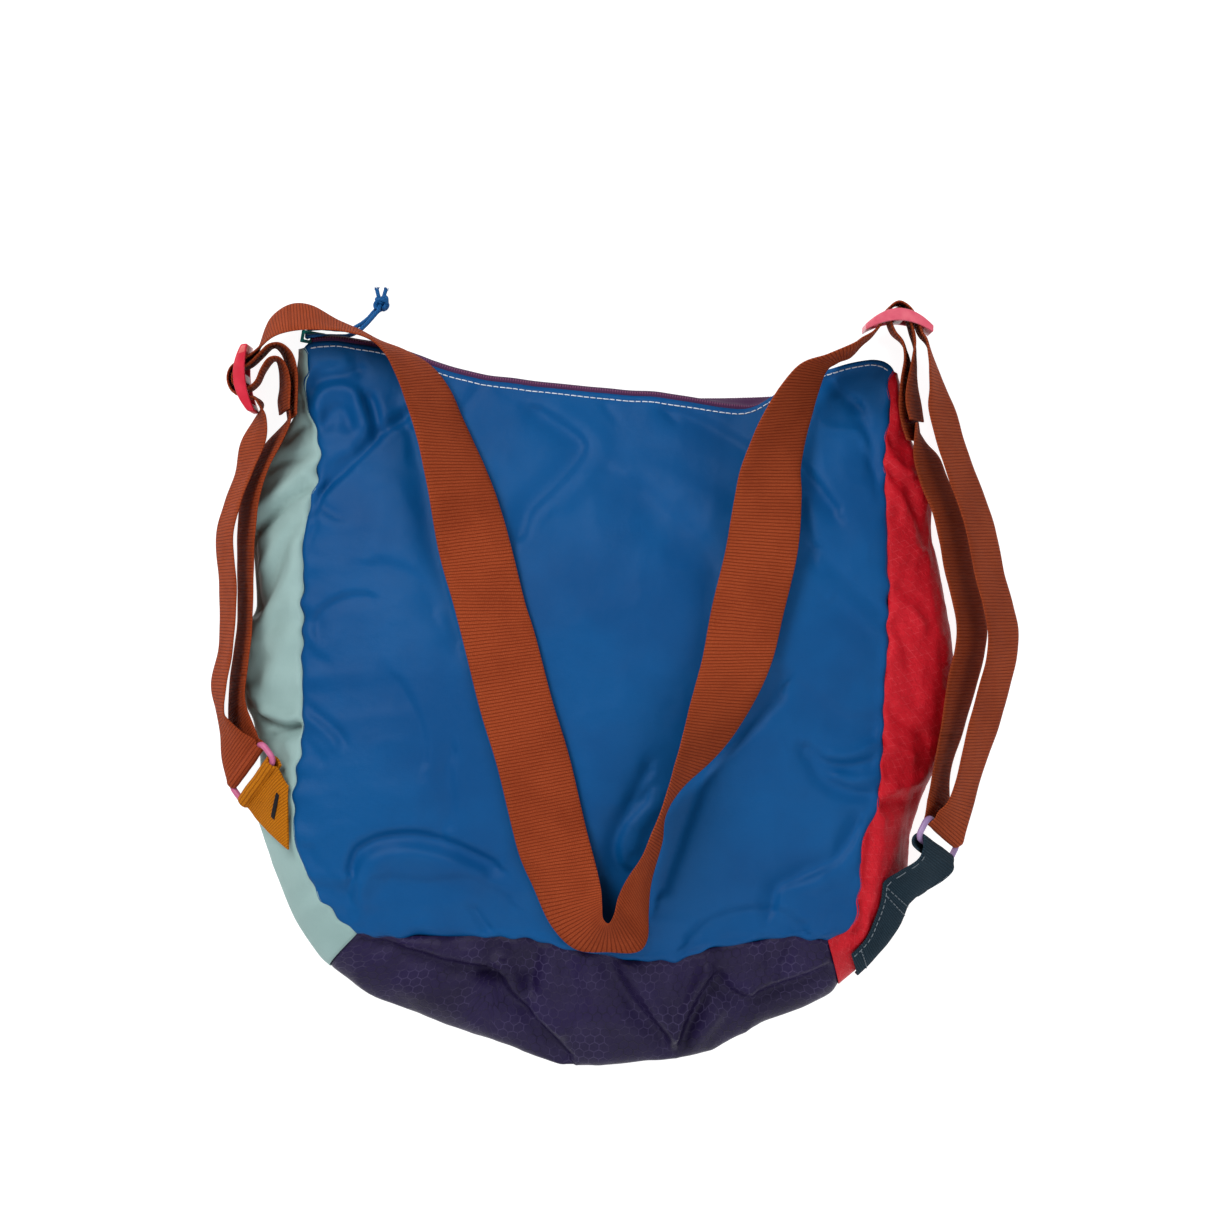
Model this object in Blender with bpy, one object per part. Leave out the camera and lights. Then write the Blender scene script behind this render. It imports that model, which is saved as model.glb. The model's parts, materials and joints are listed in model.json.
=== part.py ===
# Zip-top convertible tote / backpack, lying flat on its back panel.
# Frame: metres, +X to the bag's right as seen from the front, +Y towards the
# zipped mouth, +Z up out of the front panel. Origin: middle of the base of the
# bounding box of the bag (the pull cord left out of that box).
# All control points below are design dimensions in millimetres.

import bpy
import bmesh
import math
import numpy as np
from mathutils import Vector

for ob in list(bpy.data.objects):
    bpy.data.objects.remove(ob, do_unlink=True)

MM = 0.001
SHIFT = (0.05, 0.50, 0.0)   # mm, brings the middle of the bag's box onto the origin

# ---------------------------------------------------------------- dimensions
WEB_W = 38.0          # webbing width
WEB_T = 1.4           # webbing thickness
PANEL_T = 1.6         # thickness given to each fabric panel
SEAM_GAP = 0.40       # pull-back of each panel edge from a shared seam
MOUTH_Z = 27.6        # height of the front panel's top edge
BACK_Z = 8.0          # height of the back panel's top edge
DOME = 18.0           # crown of the front panel above its seams
BELLY_Z = 14.0        # height of the widest line of gussets and bottom

ZIP_C = (50.0, 842.0)  # centre of the zip's arc (plan view)
ZIP_R = 689.0          # radius of the zip's arc
ZIP_Z = 17.6           # middle height of the chain

CORD_D = 2.4          # pull cord diameter
FRAME_A = 46.0        # adjuster, across the webbing
FRAME_B = 36.0        # adjuster, along the webbing
FRAME_T = 3.0         # adjuster, thickness
SLOT_A = 39.5         # adjuster slot length
RING_A = 41.6         # ring, centre to centre across the webbing
RING_B = 12.0         # ring, centre to centre along the webbing
RING_R = 1.7          # ring bar radius

# ---------------------------------------------------------------- materials
def material(name, rgb, rough, metal=0.0):
    m = bpy.data.materials.new(name)
    m.use_nodes = True
    b = m.node_tree.nodes["Principled BSDF"]
    b.inputs["Base Color"].default_value = (rgb[0], rgb[1], rgb[2], 1.0)
    b.inputs["Roughness"].default_value = rough
    b.inputs["Metallic"].default_value = metal
    return m


def new_object(name, verts, faces, rgb, rough=0.6, smooth=False, origin=None):
    """Mesh object from points in millimetres, with its own material."""
    o = origin if origin is not None else (0.0, 0.0, 0.0)
    me = bpy.data.meshes.new(name)
    me.from_pydata([((v[0] - o[0]) * MM, (v[1] - o[1]) * MM, (v[2] - o[2]) * MM) for v in verts], [], faces)
    bm = bmesh.new()
    bm.from_mesh(me)
    bmesh.ops.recalc_face_normals(bm, faces=bm.faces)
    bm.to_mesh(me)
    bm.free()
    me.update()
    ob = bpy.data.objects.new(name, me)
    ob.location = ((o[0] + SHIFT[0]) * MM, (o[1] + SHIFT[1]) * MM, o[2] * MM)
    bpy.context.collection.objects.link(ob)
    me.materials.append(material(name + "_mat", rgb, rough))
    if smooth:
        me.shade_smooth()
    return ob


# ---------------------------------------------------------------- curve tools
def arc_sample(pts, n):
    """n+1 points evenly spaced by length along a polyline."""
    p = np.array(pts, dtype=float)
    d = np.r_[0.0, np.cumsum(np.linalg.norm(np.diff(p, axis=0), axis=1))]
    t = np.linspace(0.0, d[-1], n + 1)
    return np.stack([np.interp(t, d, p[:, k]) for k in range(p.shape[1])], axis=1)


def catmull(pts, per):
    """Smooth curve through all points, per samples on each span."""
    p = np.array(pts, dtype=float)
    q = np.vstack([2 * p[0] - p[1], p, 2 * p[-1] - p[-2]])
    out = []
    for i in range(1, len(q) - 2):
        for k in range(per):
            t = k / per
            a, b, c, d = q[i - 1], q[i], q[i + 1], q[i + 2]
            out.append(0.5 * ((2 * b) + (c - a) * t + (2 * a - 5 * b + 4 * c - d) * t * t
                              + (3 * b - a - 3 * c + d) * t ** 3))
    out.append(p[-1])
    return np.array(out)


def unit(v):
    n = np.linalg.norm(v, axis=-1, keepdims=True)
    return v / np.maximum(n, 1e-9)


# ---------------------------------------------------------------- panels
def grid_normals(g):
    du = np.gradient(g, axis=0)
    dv = np.gradient(g, axis=1)
    return unit(np.cross(du, dv))


def thick_grid(name, outer, inner, rgb, rough, smooth=True):
    """Closed solid between an outer and an inner grid of points."""
    nu, nv = outer.shape[0], outer.shape[1]
    verts = list(outer.reshape(-1, 3)) + list(inner.reshape(-1, 3))
    off = nu * nv
    idx = lambda i, j: i * nv + j
    faces = []
    for i in range(nu - 1):
        for j in range(nv - 1):
            a, b, c, d = idx(i, j), idx(i + 1, j), idx(i + 1, j + 1), idx(i, j + 1)
            faces.append((a, b, c, d))
            faces.append((off + d, off + c, off + b, off + a))
    ring = [idx(i, 0) for i in range(nu)] + [idx(nu - 1, j) for j in range(1, nv)]
    ring += [idx(i, nv - 1) for i in range(nu - 2, -1, -1)] + [idx(0, j) for j in range(nv - 2, 0, -1)]
    for k in range(len(ring)):
        a, b = ring[k], ring[(k + 1) % len(ring)]
        faces.append((b, a, off + a, off + b))
    return new_object(name, verts, faces, rgb, rough, smooth)


def coons(top, bottom, left, right):
    """Surface patch from four border curves; index [u][v], v runs top to bottom."""
    nu, nv = len(top), len(left)
    u = np.linspace(0, 1, nu)[:, None, None]
    v = np.linspace(0, 1, nv)[None, :, None]
    t, b = top[:, None, :], bottom[:, None, :]
    l, r = left[None, :, :], right[None, :, :]
    c = ((1 - u) * (1 - v) * top[0] + u * (1 - v) * top[-1]
         + (1 - u) * v * bottom[0] + u * v * bottom[-1])
    return (1 - v) * t + v * b + (1 - u) * l + u * r - c


NU, NS, NV = 16, 16, 6      # columns across, rows down, divisions round the side

# front panel borders (x, y, z)
top_edge = arc_sample([(-166.9, 182.2, MOUTH_Z), (-154.6, 184.4, MOUTH_Z), (-136.3, 182.7, MOUTH_Z),
                       (-114.8, 177.9, MOUTH_Z), (-97, 172, MOUTH_Z), (-71.8, 165.5, MOUTH_Z),
                       (-39.5, 162.3, MOUTH_Z), (-7.3, 158.5, MOUTH_Z), (26.6, 155.9, MOUTH_Z),
                       (46.5, 152.1, MOUTH_Z), (69.1, 147.8, MOUTH_Z), (83.1, 153.7, MOUTH_Z),
                       (100.3, 163.4, MOUTH_Z), (116.4, 169.3, MOUTH_Z), (135.7, 174.1, MOUTH_Z),
                       (145.4, 173.6, MOUTH_Z), (151.3, 167.7, MOUTH_Z)], NU)
bot_edge = arc_sample([(-137.9, -134.5, 34), (-98.7, -135.3, 37), (-49.2, -136.6, 38), (-15.3, -144.1, 38),
                       (22.3, -149, 38), (48.1, -143.1, 38), (96, -136.1, 37), (115.3, -138.2, 34)], NU)
left_seam = arc_sample([(-166.9, 182.2, MOUTH_Z), (-163.7, 167.7, 29), (-164.8, 147.2, 31), (-158.3, 119.3, 34),
                        (-163.7, 92.4, 37), (-166.7, 50.5, 40), (-167.1, -26.4, 41), (-171.2, -80.7, 40),
                        (-166.7, -97.4, 39), (-157.8, -114, 37), (-137.9, -134.5, 34)], NS)
right_seam = arc_sample([(151.3, 167.7, MOUTH_Z), (148, 154, 29.5), (146.2, 126.8, 33), (147.4, 70, 38),
                         (146, 5, 41), (143.1, -51.7, 41), (135.2, -78.5, 40), (131.4, -122.6, 36),
                         (115.3, -138.2, 34)], NS)
front = coons(top_edge, bot_edge, left_seam, right_seam)
uu = np.linspace(0, 1, NU + 1)[:, None]
vv = np.linspace(0, 1, NS + 1)[None, :]
front[:, :, 2] += DOME * np.sin(math.pi * uu) ** 0.7 * np.sin(math.pi * vv) ** 1.2

# back panel borders, flat on the ground but for its turned-up top edge
back_left = arc_sample([(-165, 179, BACK_Z), (-163, 160, 2.0), (-163.5, 145, 0), (-170, 110, 0), (-176, 60, 0),
                        (-178, 0, 0), (-172, -60, 0), (-158, -110, 0), (-141, -146, 0)], NS)
back_right = arc_sample([(149.5, 165.5, BACK_Z), (149, 150, 2.0), (149, 138, 0), (152, 100, 0), (158, 50, 0),
                         (162, 0, 0), (152, -60, 0), (145, -110, 0), (119, -154, 0)], NS)
back_bot = arc_sample([(-141, -146, 0), (-88, -168, 0), (-30, -186, 0), (20, -187, 0), (75, -172, 0),
                       (119, -154, 0)], NU)
back_top = top_edge.copy()
back_top[:, 1] -= 3.0
back_top[:, 2] = BACK_Z
back_top[0] = back_left[0]
back_top[-1] = back_right[0]
back = coons(back_top, back_bot, back_left, back_right)
rows = np.linspace(0, 1, NS + 1)
rise = np.clip(1.0 - rows / 0.13, 0.0, 1.0)
back[:, :, 2] = BACK_Z * rise[None, :] ** 1.2
back_left[:, 2] = back[0, :, 2]
back_right[:, 2] = back[-1, :, 2]


def belly(front_curve, mid_curve, back_curve):
    """Side surface from a front seam over its widest line to a back seam."""
    ctrl = 2 * mid_curve - 0.5 * (front_curve + back_curve)
    t = np.linspace(0, 1, NV + 1)[None, :, None]
    return ((1 - t) ** 2 * front_curve[:, None, :] + 2 * t * (1 - t) * ctrl[:, None, :]
            + t ** 2 * back_curve[:, None, :])


BZ = BELLY_Z
left_mid = arc_sample([(-168.2, 180.2, 17), (-166.8, 166, 17), (-165.9, 150, 17), (-167.6, 140, BZ), (-173, 131, BZ), (-181, 121, BZ),
                       (-188, 106, BZ), (-192, 92, BZ), (-193.5, 78, BZ), (-191, 45, BZ), (-195, 27, BZ),
                       (-198, 9, BZ), (-196, -8, BZ), (-190, -22, BZ), (-184, -42, 10), (-182.5, -70, 8),
                       (-177, -99, BZ), (-168.5, -126, BZ), (-158, -146, BZ), (-153.5, -152.2, BZ)], NS)
right_mid = arc_sample([(152.4, 166.6, 17), (151.8, 156, 17), (151.8, 145, 17), (155, 133, BZ), (160, 122, BZ),
                        (165, 110, BZ), (167, 98, BZ), (167, 81, BZ), (171, 60, BZ), (177, 30, BZ), (180, 0, BZ),
                        (179, -20, BZ), (171, -43, BZ), (161, -62, 12), (156, -90, 12), (156, -114, BZ),
                        (149, -133, BZ), (134, -151, BZ), (121.8, -161.9, BZ)], NS)
bottom_mid = arc_sample([(-153.5, -152.2, BZ), (-132.5, -167.2, BZ), (-89, -181.8, BZ), (-59.4, -192, BZ),
                         (-27.1, -204.9, BZ), (16.4, -202.2, BZ), (58.3, -193.1, BZ), (84.1, -180.2, BZ),
                         (109.9, -169.9, BZ), (121.8, -161.9, BZ)], NU)
left_side = belly(left_seam, left_mid, back_left)        # [row down][round]
right_side = belly(right_seam, right_mid, back_right)
bottom = belly(bot_edge, bottom_mid, back_bot)           # [column][round]

# outward normals, then mitred where two panels share a seam
n_front = -grid_normals(front)
n_back = grid_normals(back)
n_left = -grid_normals(left_side)
n_right = grid_normals(right_side)
n_bottom = grid_normals(bottom)


def outward(n, g, towards):
    d = np.array(towards, dtype=float)
    return n if float((n * d).sum(axis=2).mean()) > 0 else -n


n_front = outward(n_front, front, (0, 0, 1))
n_back = outward(n_back, back, (0, 0, -1))
n_left = outward(n_left, left_side, (-1, 0, 0.2))
n_right = outward(n_right, right_side, (1, 0, 0.2))
n_bottom = outward(n_bottom, bottom, (0, -1, 0.2))


def mitre(na, nb):
    m = unit(na + nb)
    # keep the full panel thickness measured across each panel
    k = 1.0 / np.clip((m * na).sum(axis=-1, keepdims=True), 0.6, 1.0)
    return m * k


s = mitre(n_front[0, :], n_left[:, 0]); n_front[0, :] = s; n_left[:, 0] = s
s = mitre(n_front[-1, :], n_right[:, 0]); n_front[-1, :] = s; n_right[:, 0] = s
s = mitre(n_front[:, -1], n_bottom[:, 0]); n_front[:, -1] = s; n_bottom[:, 0] = s
s = mitre(n_left[:, -1], n_back[0, :]); n_left[:, -1] = s; n_back[0, :] = s
s = mitre(n_right[:, -1], n_back[-1, :]); n_right[:, -1] = s; n_back[-1, :] = s
s = mitre(n_bottom[:, -1], n_back[:, -1]); n_bottom[:, -1] = s; n_back[:, -1] = s
s = mitre(n_left[-1, :], n_bottom[0, :]); n_left[-1, :] = s; n_bottom[0, :] = s
s = mitre(n_right[-1, :], n_bottom[-1, :]); n_right[-1, :] = s; n_bottom[-1, :] = s
for a, b, c in ((n_front[0, -1], n_left[-1, 0], n_bottom[0, 0]),
                (n_front[-1, -1], n_right[-1, 0], n_bottom[-1, 0]),
                (n_back[0, -1], n_left[-1, -1], n_bottom[0, -1]),
                (n_back[-1, -1], n_right[-1, -1], n_bottom[-1, -1])):
    m = unit(a + b + c)
    a[:] = m; b[:] = m; c[:] = m


def pull_back(g, sides):
    """Draw the listed borders of a grid in from their seams."""
    h = g.copy()
    if "u0" in sides:
        h[0] += unit(g[1] - g[0]) * SEAM_GAP
    if "u1" in sides:
        h[-1] += unit(g[-2] - g[-1]) * SEAM_GAP
    if "v0" in sides:
        h[:, 0] += unit(g[:, 1] - g[:, 0]) * SEAM_GAP
    if "v1" in sides:
        h[:, -1] += unit(g[:, -2] - g[:, -1]) * SEAM_GAP
    return h


def panel(name, g, n, sides, rgb, rough, flip=False):
    outer = pull_back(g, sides)
    inner = pull_back(g - n * PANEL_T, sides)
    if name == "back_panel":
        flat = (g[:, :, 2] <= 1e-6)
        inner[:, :, 2] = np.where(flat, PANEL_T, inner[:, :, 2])
        outer[:, :, 2] = np.where(flat, 0.0, outer[:, :, 2])
    else:
        outer[:, :, 2] = np.maximum(outer[:, :, 2], 0.05)
        inner[:, :, 2] = np.maximum(inner[:, :, 2], 0.05)
    du = outer[1:, :-1] - outer[:-1, :-1]
    dv = outer[:-1, 1:] - outer[:-1, :-1]
    face_n = np.cross(du, dv)
    if float((face_n * n[:-1, :-1]).sum()) < 0:
        outer, inner = outer[::-1], inner[::-1]
    return thick_grid(name, outer, inner, rgb, rough)


BLUE = (0.010, 0.085, 0.250)
MINT = (0.300, 0.440, 0.415)
RED = (0.480, 0.018, 0.028)
PURPLE = (0.026, 0.018, 0.060)
ORANGE = (0.290, 0.055, 0.020)

panel("front_panel", front, n_front, ("u0", "u1", "v1"), BLUE, 0.55)
panel("back_panel", back, n_back, ("u0", "u1", "v1"), BLUE, 0.55)
panel("left_gusset", left_side, n_left, ("u1", "v0", "v1"), MINT, 0.55)
panel("right_gusset", right_side, n_right, ("u1", "v0", "v1"), RED, 0.50)
panel("bottom_panel", bottom, n_bottom, ("u0", "u1", "v0", "v1"), PURPLE, 0.45)


# ---------------------------------------------------------------- zip
def zip_point(x, dr=0.0):
    """Point of the zip's arc at x, moved outwards from its centre by dr."""
    a = math.asin((x - ZIP_C[0]) / ZIP_R)
    return ZIP_C[0] + (ZIP_R + dr) * math.sin(a), ZIP_C[1] - (ZIP_R + dr) * math.cos(a)


def arc_strip(name, x0, x1, n, dr0, dr1, z0, z1, rgb, rough):
    verts, faces = [], []
    for k in range(n + 1):
        x = x0 + (x1 - x0) * k / n
        ax, ay = zip_point(x, dr0)
        bx, by = zip_point(x, dr1)
        verts += [(ax, ay, z0), (bx, by, z0), (bx, by, z1), (ax, ay, z1)]
    for k in range(n):
        a, b = 4 * k, 4 * k + 4
        for j in range(4):
            j2 = (j + 1) % 4
            faces.append((a + j, a + j2, b + j2, b + j))
    faces.append((3, 2, 1, 0))
    e = 4 * n
    faces.append((e, e + 1, e + 2, e + 3))
    return new_object(name, verts, faces, rgb, rough)


arc_strip("zip_chain", -153.5, 138.0, 26, -1.1, 1.1, ZIP_Z - 2.2, ZIP_Z + 2.2, (0.07, 0.02, 0.075), 0.4)
arc_strip("zip_tape_front", -150.5, 138.0, 20, -0.4, 0.4, ZIP_Z + 2.6, 25.4, (0.05, 0.016, 0.06), 0.7)
arc_strip("zip_tape_back", -150.5, 138.0, 20, -0.4, 0.4, 10.6, ZIP_Z - 2.6, (0.05, 0.016, 0.06), 0.7)
arc_strip("zip_end_stop", 138.6, 141.4, 1, -1.9, 1.9, ZIP_Z - 3.0, ZIP_Z + 3.0, (0.07, 0.02, 0.075), 0.4)


def cell_solid(name, cuts, filled, place, rgb, rough, smooth=False, origin=None):
    """Solid made of the filled cells of a block grid, mapped by place()."""
    xs, ys, zs = cuts
    nx, ny, nz = len(xs) - 1, len(ys) - 1, len(zs) - 1
    full = lambda i, j, k: 0 <= i < nx and 0 <= j < ny and 0 <= k < nz and filled(i, j, k)
    index, verts, faces = {}, [], []

    def vid(i, j, k):
        if (i, j, k) not in index:
            index[(i, j, k)] = len(verts)
            verts.append(place(xs[i], ys[j], zs[k]))
        return index[(i, j, k)]

    for i in range(nx):
        for j in range(ny):
            for k in range(nz):
                if not full(i, j, k):
                    continue
                if not full(i - 1, j, k):
                    faces.append((vid(i, j, k), vid(i, j, k + 1), vid(i, j + 1, k + 1), vid(i, j + 1, k)))
                if not full(i + 1, j, k):
                    faces.append((vid(i + 1, j, k), vid(i + 1, j + 1, k), vid(i + 1, j + 1, k + 1), vid(i + 1, j, k + 1)))
                if not full(i, j - 1, k):
                    faces.append((vid(i, j, k), vid(i + 1, j, k), vid(i + 1, j, k + 1), vid(i, j, k + 1)))
                if not full(i, j + 1, k):
                    faces.append((vid(i, j + 1, k), vid(i, j + 1, k + 1), vid(i + 1, j + 1, k + 1), vid(i + 1, j + 1, k)))
                if not full(i, j, k - 1):
                    faces.append((vid(i, j, k), vid(i, j + 1, k), vid(i + 1, j + 1, k), vid(i + 1, j, k)))
                if not full(i, j, k + 1):
                    faces.append((vid(i, j, k + 1), vid(i + 1, j, k + 1), vid(i + 1, j + 1, k + 1), vid(i, j + 1, k + 1)))
    return new_object(name, verts, faces, rgb, rough, smooth, origin)


# slider: two plates joined by a nose, the upper plate longer with the cord's hole
SLIDER = (-161.0, 186.2, ZIP_Z)
s_ang = -math.asin((ZIP_C[0] - SLIDER[0]) / ZIP_R) * 0.55
sc, ss = math.cos(s_ang), math.sin(s_ang)


def slider_place(x, y, z):
    return (SLIDER[0] + x * sc - y * ss, SLIDER[1] + x * ss + y * sc, SLIDER[2] + z)


sx = [-7.6, -5.8, -2.6, -1.6, 0.8, 5.2]
sy = [-3.4, -1.6, 1.6, 3.4]
sz = [-4.6, -3.2, 3.2, 4.6]


def slider_cells(i, j, k):
    if k == 2:
        return not (i == 1 and j == 1)
    if k == 1:
        return i == 3 and j == 1
    return i >= 2


cell_solid("zip_slider", (sx, sy, sz), slider_cells, slider_place, (0.010, 0.210, 0.260), 0.35, origin=SLIDER)

# pull cord: one cord doubled through the hole, its two strands meeting there
hole = slider_place(-4.2, 0.0, 3.9)
KNOT = (-125.2, 208.0, 5.4)
KNOT_R = (4.2, 6.6, 4.2)


def cord(name, route):
    c = catmull(route, 8)
    d = np.r_[0.0, np.cumsum(np.linalg.norm(np.diff(c, axis=0), axis=1))]
    n = max(6, int(round(d[-1] / (1.2 * CORD_D))))
    t = np.linspace(0, d[-1], n + 1)
    p = np.stack([np.interp(t, d, c[:, k]) for k in range(3)], axis=1)
    cu = bpy.data.curves.new(name, "CURVE")
    cu.dimensions = "3D"
    sp = cu.splines.new("POLY")
    sp.points.add(len(p) - 1)
    for i, q in enumerate(p):
        sp.points[i].co = ((q[0] - SLIDER[0]) * MM, (q[1] - SLIDER[1]) * MM, (q[2] - SLIDER[2]) * MM, 1.0)
    cu.bevel_depth = CORD_D * 0.5 * MM
    cu.bevel_resolution = 2
    cu.use_fill_caps = True
    cu.materials.append(material(name + "_mat", (0.010, 0.110, 0.330), 0.6))
    ob = bpy.data.objects.new(name, cu)
    ob.location = ((SLIDER[0] + SHIFT[0]) * MM, (SLIDER[1] + SHIFT[1]) * MM, SLIDER[2] * MM)
    bpy.context.collection.objects.link(ob)
    return ob


hx, hy, hz = hole
cord("pull_cord_a", [(hx, hy, hz + 0.6), (hx, hy, hz + 1.9), (hx + 1.2, hy + 0.1, hz + 3.1), (-159.5, 187.3, 25.0), (-151, 187.2, 22.6),
                     (-143.5, 187.6, 19.2), (-138, 190.2, 16.2), (-133.5, 194.4, 13.2), (-129.4, 199.3, 10.6),
                     (-127.6, 201.4, 9.4)])
cord("pull_cord_b", [(hx, hy, hz - 0.6), (hx, hy, hz - 1.9), (hx - 0.2, hy + 1.6, hz - 3.2), (-163.8, 191.2, 17.2), (-157.5, 191.8, 16.8),
                     (-150, 191.2, 16.6), (-143, 191.2, 14.8), (-137.5, 193.8, 12.2), (-133, 197.4, 9.6),
                     (-130.4, 200.6, 7.4), (-129.2, 202.0, 6.0)])

kv, kf = [], []
KR, KS = 7, 12
for i in range(1, KR):
    th = math.pi * i / KR
    for j in range(KS):
        ph = 2 * math.pi * j / KS
        kv.append((KNOT[0] + KNOT_R[0] * math.sin(th) * math.cos(ph), KNOT[1] + KNOT_R[1] * math.cos(th),
                   KNOT[2] + KNOT_R[2] * math.sin(th) * math.sin(ph)))
kv += [(KNOT[0], KNOT[1] + KNOT_R[1], KNOT[2]), (KNOT[0], KNOT[1] - KNOT_R[1], KNOT[2])]
for i in range(KR - 2):
    for j in range(KS):
        a, b = i * KS + j, i * KS + (j + 1) % KS
        kf.append((b, a, a + KS, b + KS))
for j in range(KS):
    kf.append((j, (j + 1) % KS, len(kv) - 2))
    e = (KR - 2) * KS
    kf.append((e + (j + 1) % KS, e + j, len(kv) - 1))
new_object("pull_knot", kv, kf, (0.010, 0.110, 0.330), 0.6, True, origin=SLIDER)


# ---------------------------------------------------------------- webbing
def ribbon(name, stations, rgb, per=3, width=WEB_W, origin=None, fixed=False):
    """Webbing from pairs of edge points (xa, ya, za, xb, yb, zb), set to full width."""
    st = catmull(stations, per)
    a, b = st[:, :3], st[:, 3:]
    mid, w = 0.5 * (a + b), b - a
    if not fixed:
        w = unit(w) * width
    along = unit(np.gradient(mid, axis=0))
    n = unit(np.cross(along, unit(w)))
    a, b = mid - 0.5 * w, mid + 0.5 * w
    h = 0.5 * WEB_T
    m = len(mid)
    rings = np.stack([a - n * h, b - n * h, b + n * h, a + n * h], axis=1)
    verts = list(rings.reshape(-1, 3))
    faces = []
    for k in range(m - 1):
        p, q = 4 * k, 4 * k + 4
        # both broad faces are split along the same diagonal, edges stay quads
        faces += [(p, q, q + 1), (p, q + 1, p + 1), (p + 2, q + 2, p + 3), (q + 2, q + 3, p + 3)]
        for j in (1, 3):
            j2 = (j + 1) % 4
            faces.append((p + j, q + j, q + j2, p + j2))
    faces.append((0, 1, 2, 3))
    e = 4 * (m - 1)
    faces.append((e + 3, e + 2, e + 1, e))
    ob = new_object(name, verts, faces, rgb, 0.8, False, origin)
    return ob


# the carrying loop laid over the front: outer edge first, inner edge second
HINGE = (0.0, 184.0, 33.0)
handle = [(-136.5, 186.5, 61.5, -136.5, 190.3, 24), (-127.7, 182.7, 64.5, -124.5, 183.8, 27.4),
          (-121.2, 175.7, 65.5, -109.4, 178.1, 29.8), (-116, 166, 64.5, -97, 169.8, 32),
          (-112, 156, 64, -88.4, 158.5, 34.6), (-107.8, 143.5, 64, -80.9, 141.9, 38),
          (-102.5, 126, 65, -73.4, 125.2, 42.5), (-97, 99.9, 65, -64.2, 102.6, 49), (-92.2, 68.2, 61, -54.5, 73, 57),
          (-85.5, 45, 60, -47.6, 44.6, 61), (-79.3, 22, 61, -42, 26, 62.5), (-70.2, -14.6, 63, -33, -8, 63.5),
          (-61, -44.7, 63, -24, -38, 63.5), (-50.8, -86.6, 57, -14.5, -79, 61),
          (-41.7, -108.1, 51.5, -8.6, -104, 65), (-32.5, -129.1, 46.5, -6.6, -116.5, 69.5),
          (-20.2, -141.7, 43, -5.8, -123.6, 73), (-3, -143.4, 42, -2.6, -126.3, 76),
          (12.6, -143.6, 43, 0.2, -121.6, 72.5), (18.5, -136.6, 44.5, 2.3, -111.9, 71),
          (18.5, -120.5, 50, 8.5, -101, 80.5), (20.2, -104.1, 53, 14.5, -92, 87), (25.5, -85, 55.5, 19.6, -80, 91),
          (27.7, -68.9, 58, 26, -64, 95), (37, -54.3, 60, 30.5, -49, 95), (57.3, -34.5, 62, 36, -30, 92),
          (73.4, -11.3, 62, 41.1, -8.7, 81.5), (84.1, 12.8, 62.5, 47, 12, 70), (89.5, 37, 61, 53, 41, 65),
          (97, 69.3, 58, 60.5, 72, 62), (98.1, 98.9, 53, 66.5, 99, 65), (98.1, 117.7, 49, 70.5, 117, 67),
          (106.2, 146.2, 40, 80, 143, 65), (113.7, 166.6, 33, 96.5, 167.9, 67), (120.2, 172.5, 29.5, 113.7, 175.2, 66.5),
          (126.5, 175.2, 27, 126.6, 180.6, 64.5)]
ribbon("handle_strap", handle, ORANGE, per=2, origin=HINGE)

# left side: over the corner, through the adjuster, down to the ring
LZ = 26.0      # middle height of the left adjuster
left_outer = [(-137.4, 186.7, 61.2, -137.4, 190.7, 23.5), (-147, 188.4, 57, -148.7, 196.2, 20),
              (-160, 189.3, 52, -163.7, 204.2, 17), (-172, 188.8, 48.5, -175, 204.6, 14),
              (-181, 186, 47, -186, 197, 11), (-187.5, 181.5, 46, -191, 184, 8.2),
              (-193.2, 177, 45, -193.2, 177, 7), (-198, 174, 45, -198, 174, 7), (-204.6, 170, 45, -204.6, 170, 7),
              (-206.6, 163.8, 45, -206.6, 163.8, 7), (-204.2, 157.2, 45, -204.2, 157.2, 7),
              (-198.4, 154.4, 45, -198.4, 154.4, 7), (-192.6, 153.6, 45, -192.6, 153.6, 7),
              (-189.6, 149.9, 45, -189.8, 149.7, 7), (-187.2, 143, 43, -193.4, 141, 5.6), (-188.5, 131, 41, -197.5, 130, 4), (-195, 115, 40.2, -200.5, 114, 2.6),
              (-201.5, 99, 39.7, -206.5, 97, 2), (-206.2, 79, 39.7, -211, 78, 2), (-204.4, 52, 39.7, -209, 52, 2),
              (-206.2, 20, 39.9, -209.4, 20.4, 2), (-209.8, 0, 39.8, -213.5, 0, 2), (-210, -14, 40, -213.5, -14, 2.5),
              (-206.5, -19, 40.5, -213.3, -27, 4.5), (-199.5, -25.5, 39.8, -212, -41, 8),
              (-192.1, -30.3, 37.9, -209.1, -52.3, 11.9)]
ribbon("left_strap_outer", left_outer, ORANGE, per=2)
left_inner = [(-190.3, -29.5, 36.1, -207.3, -51.5, 10.1), (-193.9, -21.0, 37.6, -206.8, -36.5, 6.5),
              (-200.8, -9, 39.4, -208.6, -16, 3.2), (-203.6, 4, 40, -207.2, 3, 2), (-200.5, 30, 40, -203.6, 30, 2), (-199.8, 60, 40, -203.2, 60, 2),
              (-198.8, 80, 40, -203.4, 80, 2), (-196.4, 101, 40, -201.6, 99, 2.5), (-191, 117, 41, -196, 115.5, 3.5),
              (-184, 130, 43, -188.5, 129, 5.5), (-176.4, 140.5, 44.5, -178, 140, 7), (-173.2, 146.4, 45, -173.2, 146.4, 7)]
ribbon("left_strap_inner", left_inner, ORANGE, per=2)
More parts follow.
